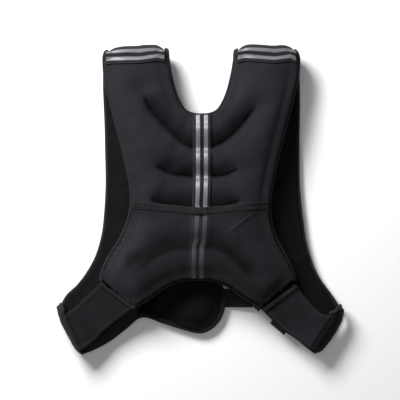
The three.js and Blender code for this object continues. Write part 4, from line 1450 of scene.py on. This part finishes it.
def pocket_net(drape):
    """A knitted net with staggered diamond holes, laid over the lower back."""
    cell = sizes().net_pitch / MM / math.sqrt(2)
    count = 146
    region = net_region()
    top = back.spine(NET_ROW, 0).y
    middle = Vector((0, top + 70))
    bm = bmesh.new()
    shade = bm.verts.layers.float.new("painted_shading")
    bmesh.ops.create_grid(
        bm, x_segments=count, y_segments=count, size=count * cell / 2,
        matrix=Matrix.Translation(middle.to_3d()) @ Matrix.Rotation(math.radians(45), 4, "Z"),
    )
    outside = []
    for face in bm.faces:
        at = face.calc_center_median()
        if not within(region, abs(at.x), at.y):
            outside.append(face)
    bmesh.ops.delete(bm, geom=outside, context="FACES")
    holes = list(bm.faces)
    bmesh.ops.inset_individual(bm, faces=holes, thickness=0.3, use_even_offset=True)
    bmesh.ops.delete(bm, geom=holes, context="FACES")
    (x0, y0), (x1, y1), height, width = NET_FOLD
    fold = np.array(((x0, y0), (x1, y1)), float)
    plan = [lay(BACK, RIGHT, v.co.x, v.co.y, 0).xy / MM for v in bm.verts]
    off_fold = off_line(fold, np.array([tuple(p) for p in plan]))[0]
    flat = np.array([(abs(v.co.x), v.co.y) for v in bm.verts])
    points = np.array([tuple(vert.co.xy) for vert in bm.verts])
    arch, away, along = off_line(channel_line(CHANNELS[3]), points)
    # Painted shade on the net: a broad slope above the arch channel and a narrow one below it,
    # shadow under the hem, darker over the middle and below the arch, and darker to the right as
    # light falls off.
    dark = 0.9 * np.exp(-(arch / np.where(away[:, 1] > 0, 9, 22)) ** 1.3)
    dark *= ease(along, 0, 0.14) * ease(1 - along, 0, 0.14)
    dark = np.maximum(dark, 0.45 * np.exp(-np.maximum(flat[:, 1] - top, 0) / 11))
    dark = np.maximum(dark, 0.25 * (1 - ease(flat[:, 0], 50, 90)))
    below = (away[:, 1] > 0) * ease(arch, 2, 9)
    dark = np.maximum(dark, 0.4 * below * (1 - ease(flat[:, 0], 85, 110)))
    dark = np.maximum(dark, [0.34 * smooth(vert.co.x, 30, 70) for vert in bm.verts])
    for vert, value in zip(bm.verts, dark):
        vert[shade] = value
    for vert, (x, y), off in zip(bm.verts, plan, off_fold):
        rise = 0.3 + NET_THICKNESS
        rise += height * math.exp(-(off / width) ** 2)
        rise += 0.35 * abs(noise.noise(Vector((x * 0.05, y * 0.09, 3))))
        vert.co = Vector((x * MM, y * MM, drape.at(x, y) + rise * MM))
    bm.normal_update()
    if sum(face.normal.z for face in bm.faces) < 0:
        bmesh.ops.reverse_faces(bm, faces=bm.faces)
    bmesh.ops.solidify(bm, geom=bm.faces[:], thickness=NET_THICKNESS * MM)
    piece = add_piece("net_cloth", bm, ["net"], "mesh", ["pocket_net"])
    return piece, 2 * outline_area(region)


def outline_area(outline):
    """Area inside an outline in mm, in square metres."""
    ahead = np.roll(outline, -1, 0)
    return abs((outline[:, 0] * ahead[:, 1] - ahead[:, 0] * outline[:, 1]).sum()) / 2 * MM * MM


class VEST_OT_pocket(Operator):
    """Lays the net of the pocket and its folded hem over the lower back."""

    bl_idname = "vest.pocket"
    bl_label = "Net Pocket"

    def execute(self, context):
        names = ["back_shell", "spine_webbing"]
        names += [f"spine_stripe_strip_{word}" for word in WORDS.values()]
        under = Surface(*[bpy.data.objects[name] for name in names])
        drape = Drape(under, (-158, -172), (158, 8))
        hem_strip("net_hem", "pocket_hem", drape, (-1, 1), 0, ())
        hem_strip("net_hem_lap", None, drape, (-0.13, 0.1), 1.9, (0.06, 0.94))
        net, area = pocket_net(drape)
        return {"FINISHED"}


# Side bands

SEAM_HEM = 6.2  # width of the strip that covers a band's seam on the back wing
SEAM_CLOTH = 1.0  # its thickness
SEAM_STARTS = {LEFT: 2.8, RIGHT: 8.0}  # where it starts, out from the band's end
BAND_SAGS = (3, 2, 0)  # how far a band hangs at each of its stations
BAND_TUCK = 5  # how far a band starts inside the end of the back wing
BAND_STEPS = 14  # columns of a band's skin to each of its stations, and round its fold


def seam_height(panel):
    return rim_height(panel.face, panel.outer(panel.last, 0).y) + RIM / 2


def band_edges(side):
    """The top edge and the lower edge of a band, in metres, out from its seam on the back wing,
    over its fold and down to the end of the front wing."""
    front = fronts[side]

    def placed(panel, point):
        return lay(panel.face, side, point.x, point.y, seam_height(panel))

    seam_low = placed(back, back.hem(back.last, 0))
    seam_top = placed(back, back.outer(back.last, 0))
    rim_low = placed(front, front.inner(front.last, 0))
    rim_top = placed(front, front.outer(front.last, 0))
    top, low = [seam_top], [seam_low]
    fold_z = seam_top.z - 3 * MM
    for i, (top_out, top_down, low_out, low_down) in enumerate(BAND_STATIONS[side]):
        z = fold_z - BAND_SAGS[i] * MM
        for line, out, down in ((top, top_out, top_down), (low, low_out, low_down)):
            x = side * out * HALF_SPAN + SPINE[0]
            line.append(Vector((x * MM, (LENGTH / 2 - down * LENGTH + SPINE[1]) * MM, z)))
    for line in (top, low):
        line[0] = line[0] - (line[1] - line[0]).normalized() * BAND_TUCK * MM
    along = rim_top - rim_low
    along.z = 0
    along.normalize()
    outward = Vector((along.y, -along.x, 0)) * side * 3.3 * MM

    def edge(line, rim):
        flat = [spline(line, u) for u in spread(BAND_STEPS * 3, 0, 3)]
        turned = []
        for angle in spread(BAND_STEPS, 0, math.pi / 2)[1:]:
            plan = line[-1].lerp(rim + outward * (1 if rim is rim_top else 0.3), math.sin(angle))
            plan.z = lerp(rim.z, line[-1].z, math.cos(angle))
            turned.append(plan)
        return flat + turned

    return edge(top, rim_top), edge(low, rim_low)


def band_skin(side, rows=26):
    """Points of a band's middle layer and the way that its outer face looks at each."""
    tops, lows = band_edges(side)
    fold = 3 * BAND_STEPS
    points = np.array([[a.lerp(b, v) for v in spread(rows)] for a, b in zip(tops, lows)])
    out = points[-1].mean(0) - points[fold].mean(0)
    out[2] = 0
    out /= np.linalg.norm(out)
    shape = rounding(np.array(spread(rows)))
    for i in range(fold, len(tops)):
        turn = math.sin((i - fold) / BAND_STEPS * math.pi / 2)
        points[i] += out * (shape * WING_ROUND[side] * 1.08 * turn * MM)[:, None]
    normals = np.cross(np.gradient(points, axis=0), np.gradient(points, axis=1))
    normals /= np.linalg.norm(normals, axis=2)[:, :, None]
    if normals[len(tops) // 3, rows // 2, 2] < 0:
        normals = -normals
    return points, normals


def side_band(side):
    """A woven band, with a seam along each of its long edges."""
    word = WORDS[side]
    points, normals = band_skin(side)
    columns, rows = points.shape[0] - 1, points.shape[1] - 1
    thickness = sizes().band
    out_along = np.linalg.norm(np.diff(points[:, rows // 2], axis=0), axis=1).sum()
    out_across = np.linalg.norm(np.diff(points[columns // 3], axis=0), axis=1).sum()

    def place(along, across):
        i, j = round(along * columns), round(across * rows)
        hem = abs(2 * across - 1)
        body = 1 - hem ** 4
        wrinkle = noise.noise(Vector((along * 2.2, across * 7 + along * 2.5, 5 + side)))
        fine = noise.noise(Vector((along * 9, across * 16, 8)))
        rise = (1.1 * wrinkle + 0.3 * fine) * body * smooth(along, 0.02, 0.25)
        rise += 0.5 * math.exp(-((hem - 0.86) / 0.05) ** 2) - 0.9 * hem ** 14
        fold = math.exp(-((along - 0.74) / 0.018) ** 2)
        rise += (0.7 if side == LEFT else -1.1) * fold
        return Vector(points[i, j] + normals[i, j] * (thickness / 2 + rise * MM))

    # Painted shade in the crease where the band folds and in the gap at its seam; past the fold,
    # painted light on the left band and painted shade on the right one, with painted light before
    # it.
    def painted_shading(along, across):
        crease = math.exp(-((along - 0.722) / 0.02) ** 2)
        turned = smooth(along, 0.73, 0.76)
        if side == LEFT:
            return 0.5 * crease - 0.5 * turned + 0.6 * (1 - smooth(along, 0.03, 0.05))
        seam = 1.2 * (1 - smooth(along, 0.05, 0.07))
        return 1.2 * crease + 0.5 * turned + seam - 0.3 * (1 - turned)

    piece = strip(f"stretch_band_{word}", [f"side_band_{word}"], "band", "woven_band",
                  (columns, rows), (out_along, out_across), place, thickness,
                  Vector(normals[columns // 2, rows // 2]), painted_shading)
    stitches = []
    for across in (2 / rows, 1 - 2 / rows):
        line = [place(u, across) for u in spread(columns)]
        ways = [Vector(normals[i, round(across * rows)]) for i in range(columns + 1)]
        stitches += seam_along([p + n * 0.1 * MM for p, n in zip(line, ways)], ways)
    sew(piece, stitches, HEM_THREAD)
    area = np.linalg.norm(
        np.cross(np.diff(points, axis=0)[:, :-1], np.diff(points, axis=1)[:-1]), axis=2).sum()
    return points, normals


def seam_strip(side, points, normals):
    """The stitched strip over the seam between the back wing and a band."""
    rows = points.shape[1] - 1
    start, normal = points[0], normals[2]
    ahead = points[6] - points[0]
    ahead /= np.linalg.norm(ahead, axis=1)[:, None]
    first = SEAM_STARTS[side]

    def place(along, across, rise=0.0):
        j = along * rows
        a = int(min(j, rows - 1))
        point = start[a] + (start[a + 1] - start[a]) * (j - a)
        shape = 0.35 * math.sin(math.pi * across)
        pucker = 0.3 * noise.noise(Vector((along * 22, across * 3, 9 + side)))
        top = sizes().band / MM / 2 + 1.3 + SEAM_CLOTH + shape + pucker + rise
        at = point + ahead[a] * (first + across * SEAM_HEM) * MM + normal[a] * top * MM
        return Vector(at)

    # Painted light along the strip's edges and, on the left, all over it; on the right, painted
    # light on a lit streak along its first half.
    def painted_shading(along, across):
        edge = -0.25 * abs(2 * across - 1) ** 4
        return edge - 0.15 if side == LEFT else edge - 0.8 * (1 - smooth(along, 0.35, 0.5))

    length = float(np.linalg.norm(start[-1] - start[0]))
    word, slot = ("binding", "binding") if side == LEFT else ("band", "woven_band")
    piece = strip(f"band_seam_{WORDS[side]}", [], word, slot, (40, 8), (length, SEAM_HEM * MM),
                  place, SEAM_CLOTH * MM, painted_shading=painted_shading)
    stitches = []
    for across in (0.25, 0.75):
        stitches += seam_along([place(u, across, 0.12) for u in spread(40)])
    sew(piece, stitches, HEM_THREAD)


def rolled_hem(side, points):
    """The rolled end of a band's top edge, a short soft bar with rounded ends."""
    word = WORDS[side]
    path = []
    first = int(2.45 * BAND_STEPS) if side == RIGHT else 3 * BAND_STEPS - 2
    for i in range(first, len(points)):
        sideways = points[i, 0] - points[i, 1]
        sideways /= np.linalg.norm(sideways)
        path.append(Vector(points[i, 0] + sideways * 3.4 * MM))
    radius = 3.1 * MM
    bm = bmesh.new()
    bmesh.ops.create_uvsphere(bm, u_segments=16, v_segments=40, radius=1)
    for vert in bm.verts:
        polar = math.acos(clamp(vert.co.z, -1, 1)) / math.pi
        around = math.atan2(vert.co.y, vert.co.x)
        at = polar * (len(path) - 1)
        here = spline(path, at)
        along = (spline(path, at + 0.5) - spline(path, at - 0.5)).normalized()
        flat = along.cross(UP).normalized()
        up = flat.cross(along)
        size_here = radius * min(1, math.sin(polar * math.pi) * 5)
        size_here *= 1 + 0.08 * noise.noise(here * 300)
        vert.co = here + flat * math.cos(around) * size_here + up * math.sin(around) * size_here
    bmesh.ops.recalc_face_normals(bm, faces=bm.faces)
    add_piece(f"band_roll_{word}", bm, ["hem"], "woven_band", [f"band_hem_{word}"])


class VEST_OT_bands(Operator):
    """Stretches a woven band from the back wing over to the front wing on each side."""

    bl_idname = "vest.bands"
    bl_label = "Side Bands"

    def execute(self, context):
        for side in (LEFT, RIGHT):
            points, normals = side_band(side)
            seam_strip(side, points, normals)
            rolled_hem(side, points)
        return {"FINISHED"}


# Waist strap

CLASP_STEPS = ((3, 0), (0.6, -0.7), (4.5, 0), (0.5, 0.6))  # in and up, from its edge
TAIL_ENDS = (Vector((0.765, 0.915)), Vector((0.948, 0.847)))  # of the loose end: out, down


def waist_webbing():
    """The strap across the hem, bowed up over its middle."""
    low, high = (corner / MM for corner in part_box("waist_strap"))
    middle = (low.y + high.y) / 2
    half = (high.y - low.y) / 2

    def place(along, across):
        x = lerp(low.x, high.x, along)
        y = middle + lerp(-half, half, across)
        bow = smooth(x, low.x + 6, high.x - 6)
        wave = 0.35 * noise.noise(Vector((x * 0.06, y * 0.05, 2)))
        z = lerp(low.z + TAPE, high.z, bow) + wave * bow * (1 - bow) * 4
        return Vector((x, y, z - 0.3 * abs(2 * across - 1) ** 6)) * MM

    strip("waist_webbing", ["waist_strap"], "webbing", "webbing", (40, 16),
          ((high.x - low.x) * MM, 2 * half * MM), place, TAPE * MM)


def loose_end():
    """The loose end of the strap, folded once and stitched."""
    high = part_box("strap_tail")[1]
    start, end = (
        Vector((p.x * HALF_SPAN + SPINE[0], LENGTH / 2 - p.y * LENGTH + SPINE[1]))
        for p in TAIL_ENDS
    )
    along_way = (end - start).normalized()
    sideways = Vector((-along_way.y, along_way.x))
    half, top = sizes().webbing / MM / 2, high.z / MM
    length = (end - start).length

    def place(along, across, rise=0.0):
        plan = start + along_way * length * along + sideways * lerp(-half, half, across)
        curl = 0.5 * (1 - smooth(along, 0, 0.3)) * (1 - across)
        z = top + curl + rise - 0.25 * abs(2 * across - 1) ** 6
        return Vector((plan.x, plan.y, z)) * MM

    piece = strip("webbing_end", ["strap_tail"], "webbing", "webbing", (36, 16),
                  (length * MM, 2 * half * MM), place, TAPE * MM)
    stitches = []
    for along in (0.08, 0.16):
        stitches += seam_along([place(along, v, 0.1) for v in spread(14, 0.08, 0.92)])
    sew(piece, stitches, HEM_THREAD)


def clasp():
    """A closed moulded clasp with a shallow recess and grips on its two faces."""
    low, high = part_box("waist_buckle")
    middle, span = (low + high) / 2, high - low
    bm = bmesh.new()
    block = Matrix.Translation(middle) @ Matrix.Diagonal((*span, 1))
    bmesh.ops.create_cube(bm, size=1, matrix=block)
    upright = [e for e in bm.edges if abs(e.verts[0].co.z - e.verts[1].co.z) > 1e-6]
    rounded = {"profile": 0.5, "affect": "EDGES", "material": -1}
    bmesh.ops.bevel(bm, geom=upright, offset=6 * MM, segments=5, **rounded)
    bm.normal_update()
    flats = [f for f in bm.faces if abs(f.normal.z) > 0.99]
    for flat in flats:
        for inset, depth in CLASP_STEPS:
            bmesh.ops.inset_region(
                bm, faces=[flat], thickness=inset * MM, depth=depth * MM, use_even_offset=True)
    sharp = [e for e in bm.edges if e.is_manifold and e.calc_face_angle(0) > 0.5]
    bmesh.ops.bevel(bm, geom=sharp, offset=0.35 * MM, segments=2, **rounded)
    add_piece("waist_clasp", bm, ["plastic"], "buckle", ["waist_buckle"])


class VEST_OT_closure(Operator):
    """Adds the strap across the hem, its hidden clasp and its loose end."""

    bl_idname = "vest.closure"
    bl_label = "Waist Strap"

    def execute(self, context):
        waist_webbing()
        clasp()
        loose_end()
        return {"FINISHED"}


# Stage

CAMERA_AT = (-0.0004, 0, 2.5)
CAMERA_LENS = 141.6  # frames 0.628 m of the floor's width in a square picture

# Soft lights: place, width and height in metres, watts and colour
LIGHTS = [
    ("key", (-0.85, 1.15, 1.05), (0.9, 0.6), 62, (1, 0.995, 0.985)),
    ("fill", (0.2, -0.3, 2.6), (2.4, 2.4), 14, (0.985, 0.99, 1)),
]


class VEST_OT_stage(Operator):
    """Sets the pale floor, the soft lights and the camera straight above."""

    bl_idname = "vest.stage"
    bl_label = "Studio Stage"

    def execute(self, context):
        scene = context.scene
        bm = bmesh.new()
        bmesh.ops.create_grid(bm, x_segments=1, y_segments=1, size=6)
        mesh = bpy.data.meshes.new("studio_floor")
        bm.to_mesh(mesh)
        bm.free()
        for vert in mesh.vertices:
            vert.co.z = -0.05 * MM
        floor = bpy.data.objects.new("studio_floor", mesh)
        scene.collection.objects.link(floor)
        paper = Finish("paper", scene.vest_colours.floor, 0.95)
        grain = paper.noise(paper.place("Object"), 3, 3)
        paper.colour(paper.tint(grain, 0.995, 1.0))
        mesh.materials.append(paper.material)
        floor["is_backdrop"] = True

        for name, place, (width, height), power, tone in LIGHTS:
            lamp = bpy.data.lights.new(name, "AREA")
            lamp.shape, lamp.size, lamp.size_y = "RECTANGLE", width, height
            lamp.energy, lamp.color = power, tone
            light = bpy.data.objects.new(name, lamp)
            light.location = place
            light.rotation_euler = (-Vector(place)).to_track_quat("-Z", "Y").to_euler()
            scene.collection.objects.link(light)

        world = bpy.data.worlds.new("studio")
        world.use_nodes = True
        sky = world.node_tree.nodes["Background"]
        sky.inputs["Color"].default_value = (1, 1, 1, 1)
        sky.inputs["Strength"].default_value = 0.12
        scene.world = world
        scene.view_settings.view_transform = "Standard"

        lens = bpy.data.cameras.new("above")
        lens.lens, lens.sensor_width = CAMERA_LENS, 36
        lens.clip_start, lens.clip_end = 0.05, 20
        camera = bpy.data.objects.new("above", lens)
        camera.location = CAMERA_AT
        scene.collection.objects.link(camera)
        scene.camera = camera
        return {"FINISHED"}


# Add-on

class VEST_PT_parts(Panel):
    """Lists the steps that build the vest, with its sizes and colours."""

    bl_idname = "VEST_PT_parts"
    bl_label = "Weighted Vest"
    bl_space_type = "VIEW_3D"
    bl_region_type = "UI"
    bl_category = "Vest"

    def draw(self, context):
        column = self.layout.column(align=True)
        for operator in OPERATORS:
            column.operator(operator.bl_idname)
        for group in (context.scene.vest_sizes, context.scene.vest_colours):
            box = self.layout.box()
            for name in group.__annotations__:
                box.prop(group, name)


OPERATORS = (
    VEST_OT_panels, VEST_OT_bindings, VEST_OT_spine, VEST_OT_shoulders, VEST_OT_pocket,
    VEST_OT_bands, VEST_OT_closure, VEST_OT_stage,
)
CLASSES = (VestSizes, VestColours, *OPERATORS, VEST_PT_parts)


def register():
    for kind in CLASSES:
        bpy.utils.register_class(kind)
    bpy.types.Scene.vest_sizes = PointerProperty(type=VestSizes)
    bpy.types.Scene.vest_colours = PointerProperty(type=VestColours)


def unregister():
    del bpy.types.Scene.vest_colours
    del bpy.types.Scene.vest_sizes
    for kind in reversed(CLASSES):
        bpy.utils.unregister_class(kind)


def main():
    register()
    bpy.ops.vest.panels()
    bpy.ops.vest.bindings()
    bpy.ops.vest.spine()
    bpy.ops.vest.shoulders()
    bpy.ops.vest.pocket()
    bpy.ops.vest.bands()
    bpy.ops.vest.closure()
    bpy.ops.vest.stage()
    boxes = {"cad": CAD_BOX, "visual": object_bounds()}
    {name: [list(corner) for corner in box] for name, box in boxes.items()}


if __name__ == "__main__":
    main()
